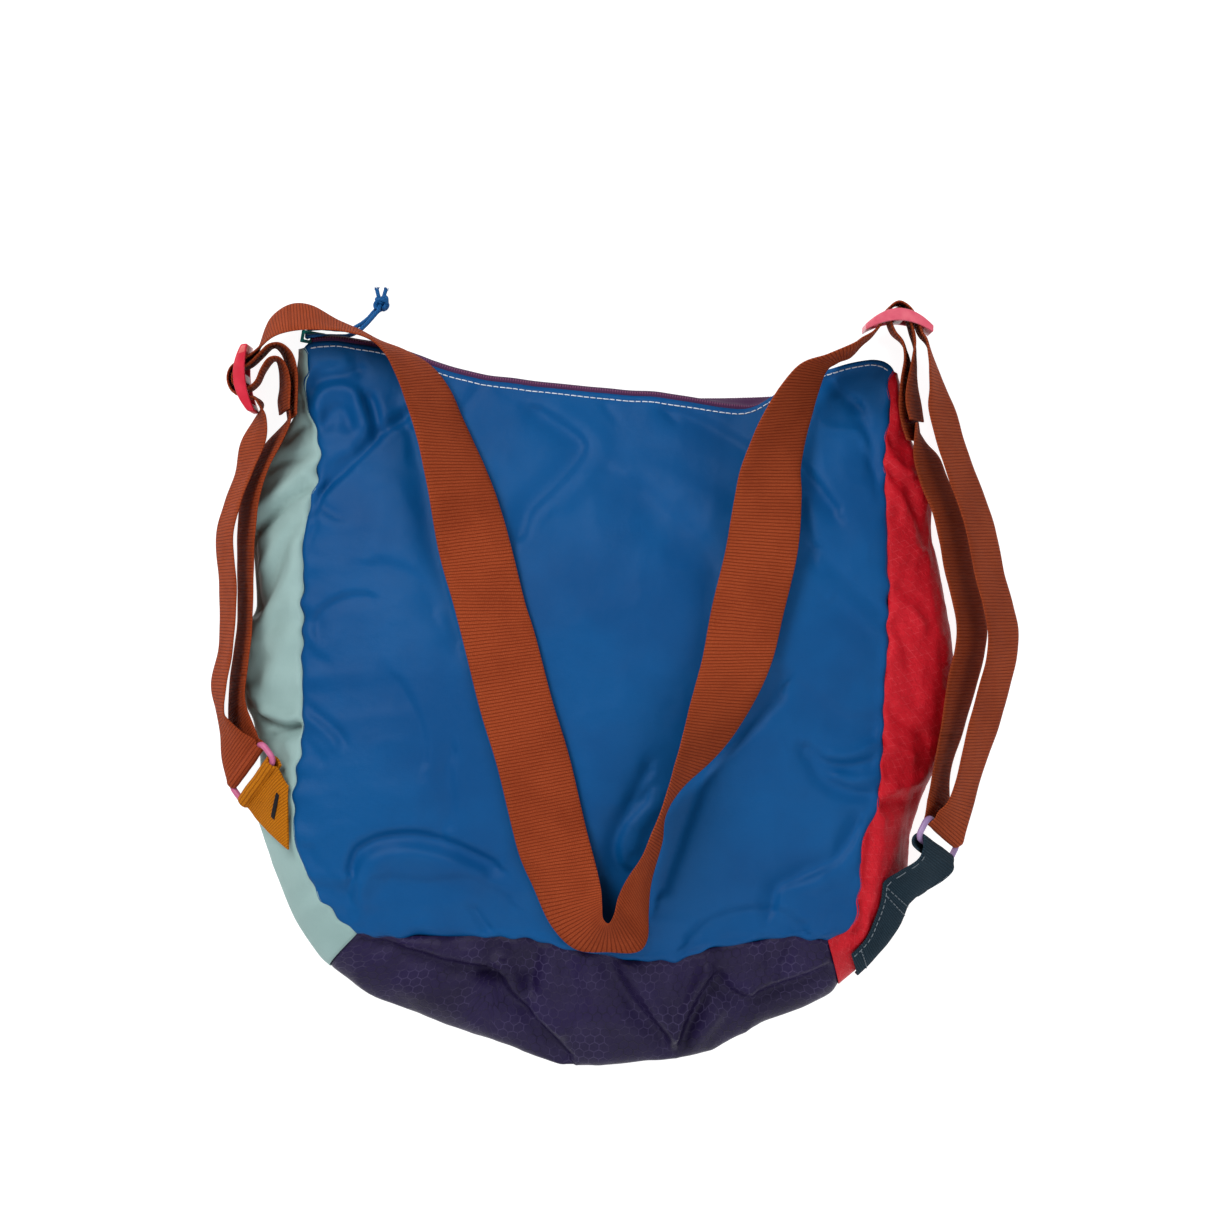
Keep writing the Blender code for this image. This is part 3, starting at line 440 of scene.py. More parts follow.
def fabric_mat(name, color, dark, rough, sheen, pattern=None, light=None, weave=0.42, weave_h=0.05,
               crumple=0.25, spec=0.4, mottling=0.10, tint=(1, 1, 1)):
    m, nt, b = new_mat(name, color, rough, Specular_IOR_Level=spec)
    net = Net(nt)
    mm = uv_mm(net)
    x, y = split(net, mm)
    # plain weave: fine over-and-under of warp and weft
    wx = net.math("SINE", net.math("MULTIPLY", x, 2 * math.pi / weave))
    wy = net.math("SINE", net.math("MULTIPLY", y, 2 * math.pi / weave))
    wv = net.math("MULTIPLY", wx, wy)
    height = net.math("MULTIPLY", wv, weave_h * 0.5)
    big = net.node("ShaderNodeTexNoise", {"Vector": mm, "Scale": 0.016, "Detail": 3.0, "Roughness": 0.55}).outputs[0]
    thread = net.node("ShaderNodeTexNoise", {"Vector": net.vec("MULTIPLY", mm, (0.25, 2.6, 1.0)).outputs[0],
                                             "Scale": 1.0, "Detail": 2.0, "Roughness": 0.6}).outputs[0]
    crump = net.node("ShaderNodeTexNoise", {"Vector": mm, "Scale": 0.09, "Detail": 5.0, "Roughness": 0.62}).outputs[0]
    height = net.math("ADD", height, net.math("MULTIPLY", crump, crumple))
    col = net.mixc(net.math("MULTIPLY", net.ramp(big, 0.35, 0.68), mottling * 6), color, dark)
    col = net.mixc(net.math("MULTIPLY", net.ramp(thread, 0.42, 0.75), 0.22), col, dark)
    if pattern == "diamond":
        # ripstop threads crossing at a slant; the cloth's real pattern, with its lines painted paler in some patches
        # (painted sheen) and darker in others (painted shade)
        a = net.math("ADD", net.math("DIVIDE", x, 4.4), net.math("DIVIDE", y, 7.4))
        c = net.math("SUBTRACT", net.math("DIVIDE", x, 4.4), net.math("DIVIDE", y, 7.4))
        la = tri(net, a, 1.0)
        lc = tri(net, c, 1.0)
        lines = net.math("MAXIMUM", net.ramp(la, 0.435, 0.487), net.ramp(lc, 0.435, 0.487))
        brk = net.node("ShaderNodeTexNoise", {"Vector": mm, "Scale": 0.22, "Detail": 2.0}).outputs[0]
        painted_sheen_lines = net.math("MULTIPLY", lines, net.ramp(brk, 0.40, 0.62))
        col = net.mixc(net.math("MULTIPLY", painted_sheen_lines, 0.42), col, light)
        col = net.mixc(net.math("MULTIPLY", net.math("MULTIPLY", lines, net.ramp(brk, 0.56, 0.36)), 0.45), col, dark)
        height = net.math("ADD", height, net.math("MULTIPLY", lines, 0.10))
        fine = net.node("ShaderNodeTexNoise", {"Vector": mm, "Scale": 0.42, "Detail": 5.0, "Roughness": 0.62}).outputs[0]
        height = net.math("ADD", height, net.math("MULTIPLY", net.math("ABSOLUTE", net.math("SUBTRACT", fine, 0.5)), -1.1))
    if pattern == "hex":
        # honeycomb ripstop: distance to the edge of the hexagon a point lies in
        w = 5.4
        cell = (w, w * 1.7320508, 1.0)
        half = (w / 2, w * 0.8660254, 0.5)
        p = net.vec("MULTIPLY", mm, (1, 1, 0)).outputs[0]
        wrap_a = net.vec("WRAP", p, cell)
        wrap_a.inputs[2].default_value = (0, 0, 0)
        va = net.vec("SUBTRACT", wrap_a.outputs[0], half)
        shifted = net.vec("SUBTRACT", p, half)
        wrap_b = net.vec("WRAP", shifted.outputs[0], cell)
        wrap_b.inputs[2].default_value = (0, 0, 0)
        vb = net.vec("SUBTRACT", wrap_b.outputs[0], half)
        va2 = net.vec("MULTIPLY", va.outputs[0], (1, 1, 0)).outputs[0]
        vb2 = net.vec("MULTIPLY", vb.outputs[0], (1, 1, 0)).outputs[0]
        la = net.vec("LENGTH", va2).outputs["Value"]
        lb = net.vec("LENGTH", vb2).outputs["Value"]
        pick = net.math("LESS_THAN", la, lb)
        mixv = net.node("ShaderNodeMix", {}, data_type="VECTOR")
        net.link(pick, mixv.inputs["Factor"])
        fa = [s for s in mixv.inputs if s.name == "A" and s.type == "VECTOR"][0]
        fb = [s for s in mixv.inputs if s.name == "B" and s.type == "VECTOR"][0]
        net.link(vb2, fa)
        net.link(va2, fb)
        outv = [s for s in mixv.outputs if s.type == "VECTOR"][0]
        q = net.vec("ABSOLUTE", outv).outputs[0]
        qx = net.node("ShaderNodeSeparateXYZ", {0: q}).outputs[0]
        dg = net.vec("DOT_PRODUCT", q, (0.5, 0.8660254, 0)).outputs["Value"]
        hexd = net.math("MAXIMUM", qx, dg)
        edge = net.math("SUBTRACT", w / 2, hexd)
        lines = net.ramp(edge, 0.36, 0.10)
        brk = net.node("ShaderNodeTexNoise", {"Vector": mm, "Scale": 0.045, "Detail": 3.0, "Roughness": 0.6}).outputs[0]
        vis = net.ramp(brk, 0.34, 0.60)
        # the honeycomb is the cloth's real pattern; its lines are painted paler in some patches (painted sheen) and
        # darker in others (painted shade)
        col = net.mixc(net.math("MULTIPLY", net.math("MULTIPLY", lines, vis), 0.50), col, light)
        col = net.mixc(net.math("MULTIPLY", net.math("MULTIPLY", lines, net.ramp(brk, 0.58, 0.36)), 0.80), col, dark)
        height = net.math("ADD", height, net.math("MULTIPLY", lines, 0.16))
    net.link(col, b.inputs["Base Color"])
    bump = net.node("ShaderNodeBump", {"Strength": 0.8, "Distance": 0.001, "Height": height})
    net.link(bump.outputs[0], b.inputs["Normal"])
    return m


def web_mat(name, color, gap, light, rib=1.75, step=1.05, depth=0.55):
    """Ribbed webbing: cross ribs built of short slanted floats, with painted shade in the gaps between them."""
    m, nt, b = new_mat(name, color, 0.82, Specular_IOR_Level=0.06)
    net = Net(nt)
    mm = uv_mm(net)
    x, y = split(net, mm)                        # x across, y along
    yy = net.math("ADD", y, net.math("MULTIPLY", net.node("ShaderNodeTexNoise", {"Vector": mm, "Scale": 0.09, "Detail": 1.0}).outputs[0], 0.5))
    row = net.math("FLOOR", net.math("DIVIDE", yy, rib))
    odd = net.math("MULTIPLY", net.math("FRACT", net.math("MULTIPLY", row, 0.5)), step)
    ribs = tri(net, yy, rib)                      # 0.5 at the gap between ribs
    slant = net.math("ADD", net.math("ADD", x, odd), net.math("MULTIPLY", yy, 0.30))
    cells = tri(net, slant, step)
    gap_r = net.ramp(ribs, 0.30, 0.49)
    gap_c = net.ramp(cells, 0.33, 0.49)
    # painted shade: the gaps between ribs and between floats are mixed towards the darker gap colour
    dark = net.math("MAXIMUM", gap_r, net.math("MULTIPLY", gap_c, 0.55))
    n1 = net.node("ShaderNodeTexNoise", {"Vector": mm, "Scale": 0.035, "Detail": 3.0}).outputs[0]
    n2 = net.node("ShaderNodeTexNoise", {"Vector": mm, "Scale": 1.6, "Detail": 2.0}).outputs[0]
    col = net.mixc(net.ramp(n2, 0.35, 0.70), color, light)
    col = net.mixc(net.math("MULTIPLY", net.ramp(n1, 0.40, 0.70), 0.25), col, gap)
    col = net.mixc(net.math("MULTIPLY", dark, 0.80), col, gap)
    net.link(col, b.inputs["Base Color"])
    h = net.math("MULTIPLY", net.math("SUBTRACT", 1.0, dark), depth)
    h = net.math("ADD", h, net.math("MULTIPLY", n2, 0.08))
    bump = net.node("ShaderNodeBump", {"Strength": 0.75, "Distance": 0.001, "Height": h})
    net.link(bump.outputs[0], b.inputs["Normal"])
    return m


def plastic_mat(name, color, pale, rough=0.34, sss=0.0):
    m, nt, b = new_mat(name, color, rough, Specular_IOR_Level=0.3)
    net = Net(nt)
    tc = net.node("ShaderNodeTexCoord", {})
    n = net.node("ShaderNodeTexNoise", {"Vector": tc.outputs["Object"], "Scale": 160.0, "Detail": 3.0}).outputs[0]
    n2 = net.node("ShaderNodeTexNoise", {"Vector": tc.outputs["Object"], "Scale": 1400.0, "Detail": 2.0}).outputs[0]
    col = net.mixc(net.ramp(n, 0.35, 0.75), color, pale)
    net.link(col, b.inputs["Base Color"])
    r = net.node("ShaderNodeMapRange", {"Value": n2, "To Min": rough - 0.05, "To Max": rough + 0.10}).outputs[0]
    net.link(r, b.inputs["Roughness"])
    bump = net.node("ShaderNodeBump", {"Strength": 0.12, "Distance": 0.0004, "Height": n2})
    net.link(bump.outputs[0], b.inputs["Normal"])
    return m


def thread_mat(name, color, dark, rough=0.6, twist=0.9):
    m, nt, b = new_mat(name, color, rough, Specular_IOR_Level=0.14)
    net = Net(nt)
    mm = uv_mm(net)
    x, y = split(net, mm)
    s = net.math("ADD", net.math("DIVIDE", x, 2.0), net.math("DIVIDE", y, twist))
    t = tri(net, s, 1.0)
    # painted shade: the grooves between the twists are mixed towards the darker colour
    g = net.ramp(t, 0.30, 0.5)
    net.link(net.mixc(net.math("MULTIPLY", g, 0.7), color, dark), b.inputs["Base Color"])
    bump = net.node("ShaderNodeBump", {"Strength": 0.5, "Distance": 0.0004, "Height": net.math("SUBTRACT", 1.0, g)})
    net.link(bump.outputs[0], b.inputs["Normal"])
    return m


BLUE = (0.0098, 0.0900, 0.2600)
MAT = {
    "blue": fabric_mat("blue_taffeta", (0.0010, 0.0760, 0.2450), (0.0004, 0.0520, 0.1850), 0.42, 0.0, crumple=0.45, spec=0.13),
    "mint": fabric_mat("mint_taffeta", (0.300, 0.440, 0.430), (0.240, 0.365, 0.352), 0.5, 0.0, crumple=0.4, spec=0.14),
    # ripstop: the colour after the pattern name is the painted sheen of the grid lines; the dark colour also gives
    # their painted shade
    "red": fabric_mat("red_ripstop", (0.600, 0.0100, 0.0220), (0.400, 0.0040, 0.0100), 0.40, 0.0, "diamond", (0.80, 0.085, 0.105), crumple=0.7, spec=0.16),
    "purple": fabric_mat("purple_ripstop", (0.0165, 0.0095, 0.0520), (0.0050, 0.0030, 0.0140), 0.38, 0.0, "hex", (0.070, 0.056, 0.135), crumple=0.55, spec=0.17),
    # webbing: the second colour is the painted shade in the gaps between the ribs
    "orange": web_mat("orange_webbing", (0.300, 0.0470, 0.0140), (0.130, 0.0150, 0.0040), (0.390, 0.078, 0.026)),
    "mustard": web_mat("mustard_webbing", (0.470, 0.145, 0.0045), (0.230, 0.056, 0.002), (0.580, 0.205, 0.010), rib=1.5, step=1.0),
    "teal": web_mat("teal_webbing", (0.0130, 0.0290, 0.0440), (0.0050, 0.0110, 0.0180), (0.030, 0.056, 0.078), rib=1.3, step=0.95),
    "plum": fabric_mat("zip_tape_plum", (0.060, 0.0180, 0.0660), (0.026, 0.008, 0.030), 0.75, 0.1, weave=0.9, weave_h=0.25, crumple=0.1),
}


def plum_tape_mat():
    m, nt, b = new_mat("zip_tape_coil", (0.070, 0.020, 0.072), 0.6, Specular_IOR_Level=0.12)
    net = Net(nt)
    mm = uv_mm(net)
    x, y = split(net, mm)          # x along, y across
    t = tri(net, x, 1.35)
    mid = net.ramp(net.math("ABSOLUTE", net.math("SUBTRACT", y, 2.6)), 1.1, 0.3)
    loop = net.math("MULTIPLY", net.ramp(t, 0.42, 0.12), mid)
    # painted highlight: the coil loops in the middle of the tape take a paler colour
    col = net.mixc(net.math("MULTIPLY", loop, 0.65), (0.058, 0.0165, 0.062), (0.22, 0.070, 0.150))
    # painted shade: darker stripes in the grooves between the loops, across the tape
    col = net.mixc(net.math("MULTIPLY", net.ramp(t, 0.36, 0.5), 0.5), col, (0.022, 0.006, 0.026))
    net.link(col, b.inputs["Base Color"])
    bump = net.node("ShaderNodeBump", {"Strength": 0.8, "Distance": 0.001, "Height": net.math("MULTIPLY", loop, 0.35)})
    net.link(bump.outputs[0], b.inputs["Normal"])
    return m


MAT["tape"] = plum_tape_mat()
MAT["coil"] = plastic_mat("zip_coil", (0.085, 0.022, 0.080), (0.13, 0.04, 0.12), 0.35)
MAT["slider"] = plastic_mat("slider_enamel", (0.004, 0.300, 0.290), (0.010, 0.380, 0.360), 0.26)
MAT["cord"] = thread_mat("blue_braid", (0.0070, 0.095, 0.290), (0.003, 0.035, 0.120), 0.55, 1.6)
MAT["white_thread"] = thread_mat("white_thread", (0.72, 0.76, 0.84), (0.42, 0.47, 0.58), 0.6, 0.5)
MAT["pale_thread"] = thread_mat("pale_thread", (0.17, 0.20, 0.23), (0.16, 0.19, 0.22), 0.6, 0.5)
MAT["black_thread"] = thread_mat("black_thread", (0.010, 0.010, 0.013), (0.004, 0.004, 0.006), 0.55, 0.5)
MAT["red_thread"] = thread_mat("red_thread", (0.150, 0.010, 0.012), (0.05, 0.004, 0.005), 0.6, 0.5)
MAT["red_plastic"] = plastic_mat("adjuster_red", (0.530, 0.0100, 0.0320), (0.62, 0.020, 0.050))
# painted highlight: a paler copy of the red plastic, for the bar of the left adjuster that faces the light
MAT["red_pale"] = plastic_mat("adjuster_red_pale", (0.62, 0.105, 0.105), (0.70, 0.160, 0.150))
MAT["pink_plastic"] = plastic_mat("adjuster_pink", (0.640, 0.0900, 0.1450), (0.72, 0.140, 0.190))
MAT["magenta_plastic"] = plastic_mat("ring_magenta", (0.500, 0.110, 0.240), (0.58, 0.150, 0.290))
MAT["lavender_plastic"] = plastic_mat("ring_lavender", (0.290, 0.185, 0.370), (0.36, 0.240, 0.440))

# ------------------------------------------------------------------ mesh helpers


def mesh_object(name, verts, faces, mat, uvs=None, smooth=True, raw=False):
    """Mesh in metres from millimetre points; uvs one pair per vertex, in mm."""
    me = bpy.data.meshes.new(name)
    co = np.asarray(verts, float) * 0.001 if raw else m3(verts)
    me.from_pydata([tuple(c) for c in co], [], [tuple(int(i) for i in f) for f in faces])
    if uvs is not None:
        uvs = np.asarray(uvs, float) / 100.0
        layer = me.uv_layers.new(name="UVMap")
        idx = np.zeros(len(me.loops), np.int32)
        me.loops.foreach_get("vertex_index", idx)
        layer.data.foreach_set("uv", uvs[idx].astype(np.float32).ravel())
    ob = bpy.data.objects.new(name, me)
    scene.collection.objects.link(ob)
    me.materials.append(mat)
    if smooth:
        me.shade_smooth()
    me.update()
    return ob


def grid_faces(nu, nv, flip=False, off=0):
    i, j = np.meshgrid(np.arange(nu - 1), np.arange(nv - 1), indexing="ij")
    a = (i * nv + j).ravel() + off
    f = np.stack([a, a + nv, a + nv + 1, a + 1], axis=1)
    return f[:, ::-1] if flip else f


def shell(name, g, n, mat, uv, thick=0.5):
    """Cloth of a grid: outer skin, inner skin and the edge between them."""
    nu, nv = g.shape[:2]
    inner = g - n * thick
    verts = np.vstack([g.reshape(-1, 3), inner.reshape(-1, 3)])
    off = nu * nv
    du, dv = g[1:, :-1] - g[:-1, :-1], g[:-1, 1:] - g[:-1, :-1]
    flip = float((np.cross(du, dv) * n[:-1, :-1]).sum()) < 0
    faces = [grid_faces(nu, nv, flip), grid_faces(nu, nv, not flip, off)]
    ring = ([i * nv for i in range(nu)] + [(nu - 1) * nv + j for j in range(1, nv)]
            + [i * nv + nv - 1 for i in range(nu - 2, -1, -1)] + [j for j in range(nv - 2, 0, -1)])
    side = []
    for k in range(len(ring)):
        a, b = ring[k], ring[(k + 1) % len(ring)]
        side.append((a, b, off + b, off + a) if flip else (b, a, off + a, off + b))
    faces.append(np.array(side))
    faces = np.vstack(faces)
    uvs = np.vstack([uv.reshape(-1, 2), uv.reshape(-1, 2)])
    return mesh_object(name, verts, faces, mat, uvs)


def tube(path, r, sides=10, caps=True, twist=None, r2=None):
    """Tube round a path in mm; r a number or one per point. Returns verts, faces, uvs."""
    p = np.asarray(path, float)
    n = len(p)
    r = np.full(n, float(r)) if np.isscalar(r) else np.asarray(r, float)
    t = unit(np.gradient(p, axis=0))
    ref = np.array((0.0, 0.0, 1.0)) if abs(t[0][2]) < 0.9 else np.array((1.0, 0.0, 0.0))
    nrm = unit(np.cross(t[0], ref))
    s = np.r_[0.0, np.cumsum(np.linalg.norm(np.diff(p, axis=0), axis=1))]
    verts, uvs, faces = [], [], []
    for k in range(n):
        nrm = unit(nrm - t[k] * float(nrm @ t[k]))
        bn = np.cross(t[k], nrm)
        for j in range(sides + 1):
            a = 2 * math.pi * j / sides
            rr = r[k] * (twist(a, s[k]) if twist else 1.0)
            verts.append(p[k] + nrm * (rr * math.cos(a)) + bn * (rr * math.sin(a)) * (r2 if r2 else 1.0))
            uvs.append((j / sides * 2 * math.pi * float(r.max()), s[k]))
    m = sides + 1
    for k in range(n - 1):
        for j in range(sides):
            a = k * m + j
            faces.append((a, a + 1, a + m + 1, a + m))
    if caps:
        for k, rev in ((0, True), (n - 1, False)):
            c = len(verts)
            verts.append(p[k])
            uvs.append((0, s[k]))
            for j in range(sides):
                a, b = k * m + j, k * m + j + 1
                faces.append((c, b, a) if rev else (c, a, b))
    return verts, faces, uvs


def join_parts(name, parts, mat, smooth=True, weld=True):
    verts, faces, uvs, off = [], [], [], 0
    for v, f, u in parts:
        verts += list(v)
        uvs += list(u)
        faces += [tuple(i + off for i in face) for face in f]
        off += len(v)
    ob = mesh_object(name, verts, faces, mat, uvs, smooth)
    if weld:
        bm = bmesh.new()
        bm.from_mesh(ob.data)
        bmesh.ops.remove_doubles(bm, verts=bm.verts, dist=1e-6)
        bmesh.ops.recalc_face_normals(bm, faces=bm.faces)
        bm.to_mesh(ob.data)
        bm.free()
    return ob


# ------------------------------------------------------------------ the cord, first
ZIP_C = (50.0, 842.0)
ZIP_R = 689.0
ZIP_Z = 17.6
CORD_D = 2.4
SLIDER = (-161.0, 186.2, ZIP_Z)
s_ang = -math.asin((ZIP_C[0] - SLIDER[0]) / ZIP_R) * 0.55
sc, ss = math.cos(s_ang), math.sin(s_ang)


def slider_place(x, y, z):
    return (SLIDER[0] + x * sc - y * ss, SLIDER[1] + x * ss + y * sc, SLIDER[2] + z)


hx, hy, hz = slider_place(-4.2, 0.0, 3.9)
route_a = [(hx, hy, hz + 0.6), (hx, hy, hz + 1.9), (hx + 1.2, hy + 0.1, hz + 3.1), (-159.5, 187.3, 25.0), (-151, 187.2, 22.6),
           (-143.5, 187.6, 19.2), (-138, 190.2, 16.2), (-133.5, 194.4, 13.2), (-129.4, 199.3, 10.6), (-127.6, 201.4, 9.4)]
route_b = [(hx, hy, hz - 0.6), (hx, hy, hz - 1.9), (hx - 0.2, hy + 1.6, hz - 3.2), (-163.8, 191.2, 17.2), (-157.5, 191.8, 16.8),
           (-150, 191.2, 16.6), (-143, 191.2, 14.8), (-137.5, 193.8, 12.2), (-133, 197.4, 9.6), (-130.4, 200.6, 7.4), (-129.2, 202.0, 6.0)]


def braid(a, s):
    k = 2 * math.pi * s / 5.2
    return 0.93 + 0.07 * max(math.cos(5 * a + k), math.cos(5 * a - k))


cords = []
for name, route in (("pull_strand_a", route_a), ("pull_strand_b", route_b)):
    c = catmull(route, 14)
    length = float(np.linalg.norm(np.diff(c, axis=0), axis=1).sum())
    c = arc_sample(c, int(length / 0.42))
    v, f, u = tube(c, CORD_D / 2, 20, True, braid)
    ob = join_parts(name, [(v, f, u)], MAT["cord"])
    cords.append((ob, c, length))

# the knot: an overhand knot drawn tight, with two short tails and their loose fibres
KN = np.array((-125.9, 205.9, 6.0))
kt = np.linspace(0.25, 2 * math.pi - 0.25, 120)
knot = np.stack([(np.sin(kt) + 2 * np.sin(2 * kt)) * 1.02, -np.sin(3 * kt) * 1.5 + (np.cos(kt) - 2 * np.cos(2 * kt)) * 1.15,
                 (np.cos(kt) - 2 * np.cos(2 * kt)) * 0.60 + np.sin(3 * kt) * 1.0], axis=1)
knot -= knot.mean(axis=0)
ang = math.radians(-12)
rot = np.array([[math.cos(ang), -math.sin(ang), 0], [math.sin(ang), math.cos(ang), 0], [0, 0, 1]])
knot = knot @ rot.T + KN
parts = [tube(knot, 1.25, 14, True, braid)]
loop2 = [(-128.6, 202.6, 7.6), (-129.0, 205.2, 7.4), (-127.2, 207.6, 8.6), (-124.2, 207.2, 8.4), (-122.6, 204.8, 6.6), (-124.4, 202.8, 5.0), (-127.2, 203.6, 3.8)]
parts.append(tube(catmull(loop2, 10), 1.25, 14, True, braid))
parts.append(tube(catmull([(-127.6, 201.0, 9.5), (-127.2, 203.0, 8.6), (-126.4, 205.0, 7.0)], 8), 1.2, 14, True, braid))
parts.append(tube(catmull([(-129.2, 201.6, 6.2), (-128.0, 203.4, 5.4), (-126.6, 205.0, 5.6)], 8), 1.2, 14, True, braid))
tails = [[(-126.6, 207.4, 6.4), (-127.2, 209.4, 6.8), (-127.9, 211.6, 6.2), (-128.3, 213.4, 5.4)],
         [(-125.0, 207.4, 5.4), (-124.5, 209.5, 5.2), (-124.0, 211.8, 4.8), (-123.6, 213.2, 4.4)]]
for k, tl in enumerate(tails):
    c = catmull(tl, 8)
    parts.append(tube(c, 1.15, 14, True, braid))
    d = unit(c[-1] - c[-4])
    side = unit(np.cross(d, (0, 0, 1.0)))
    up = np.cross(side, d)
    for j in range(16):
        a = 2.399 * j
        rr = 0.95 * math.sqrt((j + 0.5) / 16)
        base = c[-1] - d * 0.3 + side * rr * math.cos(a) + up * rr * math.sin(a)
        out = d * (1.5 + 0.5 * math.sin(3.1 * j + k)) + side * rr * math.cos(a) * 0.75 + up * rr * math.sin(a) * 0.6
        parts.append(tube([base, base + out * 0.5, base + out + side * 0.15 * math.sin(5.0 * j)], 0.17, 5))
knot_ob = join_parts("pull_knot_tied", parts, MAT["cord"])
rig.ride(knot_ob, "pull")
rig.replaces(knot_ob, "pull_knot")
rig.slot(knot_ob, "blue_cord")
for (ob, c, length), node in zip(cords, ("pull_cord_a", "pull_cord_b")):
    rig.ride(ob, "pull")
    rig.replaces(ob, node)
    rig.slot(ob, "blue_cord")
    pts = [tuple(float(q) for q in m3(p)) for p in c]
    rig.cord(ob, exit=pts[0], length=length * 0.001, diameter=CORD_D * 0.001, far_end="knot", stiffness="limp",
            lay="loose", path=pts, with_pieces=[knot_ob] if node == "pull_cord_a" else [])

# ------------------------------------------------------------------ webbing
WEB_W = 38.0
WEB_T = 1.4
ACROSS = 12


def strap_rings(stations, per=8, width=WEB_W, fixed=False):
    """Edge lines of a strap and its surface normals, set to full width."""
    st = catmull(stations, per)
    a, b = st[:, :3], st[:, 3:]
    mid, w = 0.5 * (a + b), b - a
    if not fixed:
        w = unit(w) * width
    along = unit(np.gradient(mid, axis=0))
    n = unit(np.cross(along, unit(w)))
    s = np.r_[0.0, np.cumsum(np.linalg.norm(np.diff(mid, axis=0), axis=1))]
    return mid, w, n, s


def strap_part(mid, w, n, s, curl=0.0, thick=WEB_T, v0=0.0, seed=1.0):
    """Webbing with rounded selvedges: a closed band of (2*ACROSS+2) points round it."""
    m = len(mid)
    h = thick / 2
    us = np.linspace(-0.5, 0.5, ACROSS + 1)
    prof = []
    for q in us:
        e = min(1.0, (0.5 - abs(q)) / 0.014 + 0.25)
        prof.append((q, h * math.sqrt(e) if e < 1 else h))
    pts = [(q, t) for q, t in prof] + [(0.5 + 0.010, 0.0)] + [(q, -t) for q, t in reversed(prof)] + [(-0.5 - 0.010, 0.0)]
    k = len(pts)
    wl = np.linalg.norm(w, axis=1)
    verts = np.zeros((m, k, 3))
    uvs = np.zeros((m, k, 2))
    for j, (q, t) in enumerate(pts):
        wave = 0.10 * np.sin(s / 7.3 + q * 9 + seed) + 0.07 * np.sin(s / 3.1 + q * 17 + 2 * seed)
        c = curl * (4 * q * q - 0.33)
        verts[:, j] = mid + w * q * 0.995 + n * (t + wave + c)[:, None]
        uvs[:, j, 0] = q * wl
        uvs[:, j, 1] = s + v0
    faces = []
    for i in range(m - 1):
        for j in range(k):
            j2 = (j + 1) % k
            faces.append((i * k + j, i * k + j2, (i + 1) * k + j2, (i + 1) * k + j))
    faces.append(tuple(range(k))[::-1])
    e = (m - 1) * k
    faces.append(tuple(e + j for j in range(k)))
    return verts.reshape(-1, 3), faces, uvs.reshape(-1, 2)


def strap(name, stations, per=8, mat="orange", cut=None, ends=(), **kw):
    """One strap, or two pieces cut at a sample so that they meet exactly."""
    mid, w, n, s = strap_rings(stations, per)
    cuts = [0] + list(cut or []) + [len(mid) - 1]
    out = []
    for k in range(len(cuts) - 1):
        a, b = cuts[k], cuts[k + 1] + 1
        part = strap_part(mid[a:b], w[a:b], n[a:b], s[a:b], **kw)
        nm = name[k] if isinstance(name, (list, tuple)) else name
        ob = join_parts(nm, [part], MAT[mat], weld=False)
        bm = bmesh.new()
        bm.from_mesh(ob.data)
        bmesh.ops.recalc_face_normals(bm, faces=bm.faces)
        bm.to_mesh(ob.data)
        bm.free()
        ob.data.shade_smooth()
        out.append(ob)
    return out if isinstance(name, (list, tuple)) else out[0]


L_RING = np.array((-194.3, -48.0, 26.5))
L_LONG = np.array((-18.5, -24.0, -28.5))
L_SHORT = np.array((-0.38, 0.92, 0.0))
R_RING = np.array((174.8, -84.4, 25.0))
R_LONG = np.array((17.7, -15.5, -33.0))
R_SHORT = np.array((0.36, 0.93, 0.0))


def ring_frame(long_dir, short_hint):
    l = unit(long_dir)
    sh = unit(short_hint - l * float(np.dot(short_hint, l)))
    return l, sh, np.cross(l, sh)


def wrap(bar, l, start, end, away, turns=8, r=2.75, first_high=True):
    """Stations of webbing going round a bar, from the side of start to the side of end the long way."""
    s0 = np.array(start) - bar
    s0 = s0 - l * float(s0 @ l)
    e0 = np.array(end) - bar
    e0 = e0 - l * float(e0 @ l)
    ax, ay = unit(s0), None
    ay = unit(np.cross(l, ax))
    ae = math.atan2(float(e0 @ ay), float(e0 @ ax))
    aw = math.atan2(float(np.array(away) @ ay), float(np.array(away) @ ax))
    # go round through the direction 'away'
    if (aw % (2 * math.pi)) < (ae % (2 * math.pi)):
        total = ae % (2 * math.pi)
    else:
        total = (ae % (2 * math.pi)) - 2 * math.pi
    st = []
    for k in range(1, turns):
        f = k / turns
        a = total * f
        edge = min(f, 1 - f)
        rr = r + (max(np.linalg.norm(s0), np.linalg.norm(e0)) - r) * max(0.0, 1 - edge / 0.22) ** 2 * 0.6
        c = bar + (ax * math.cos(a) + ay * math.sin(a)) * rr
        hi, lo = c - l * WEB_W / 2, c + l * WEB_W / 2
        st.append(tuple(hi) + tuple(lo))
    return st


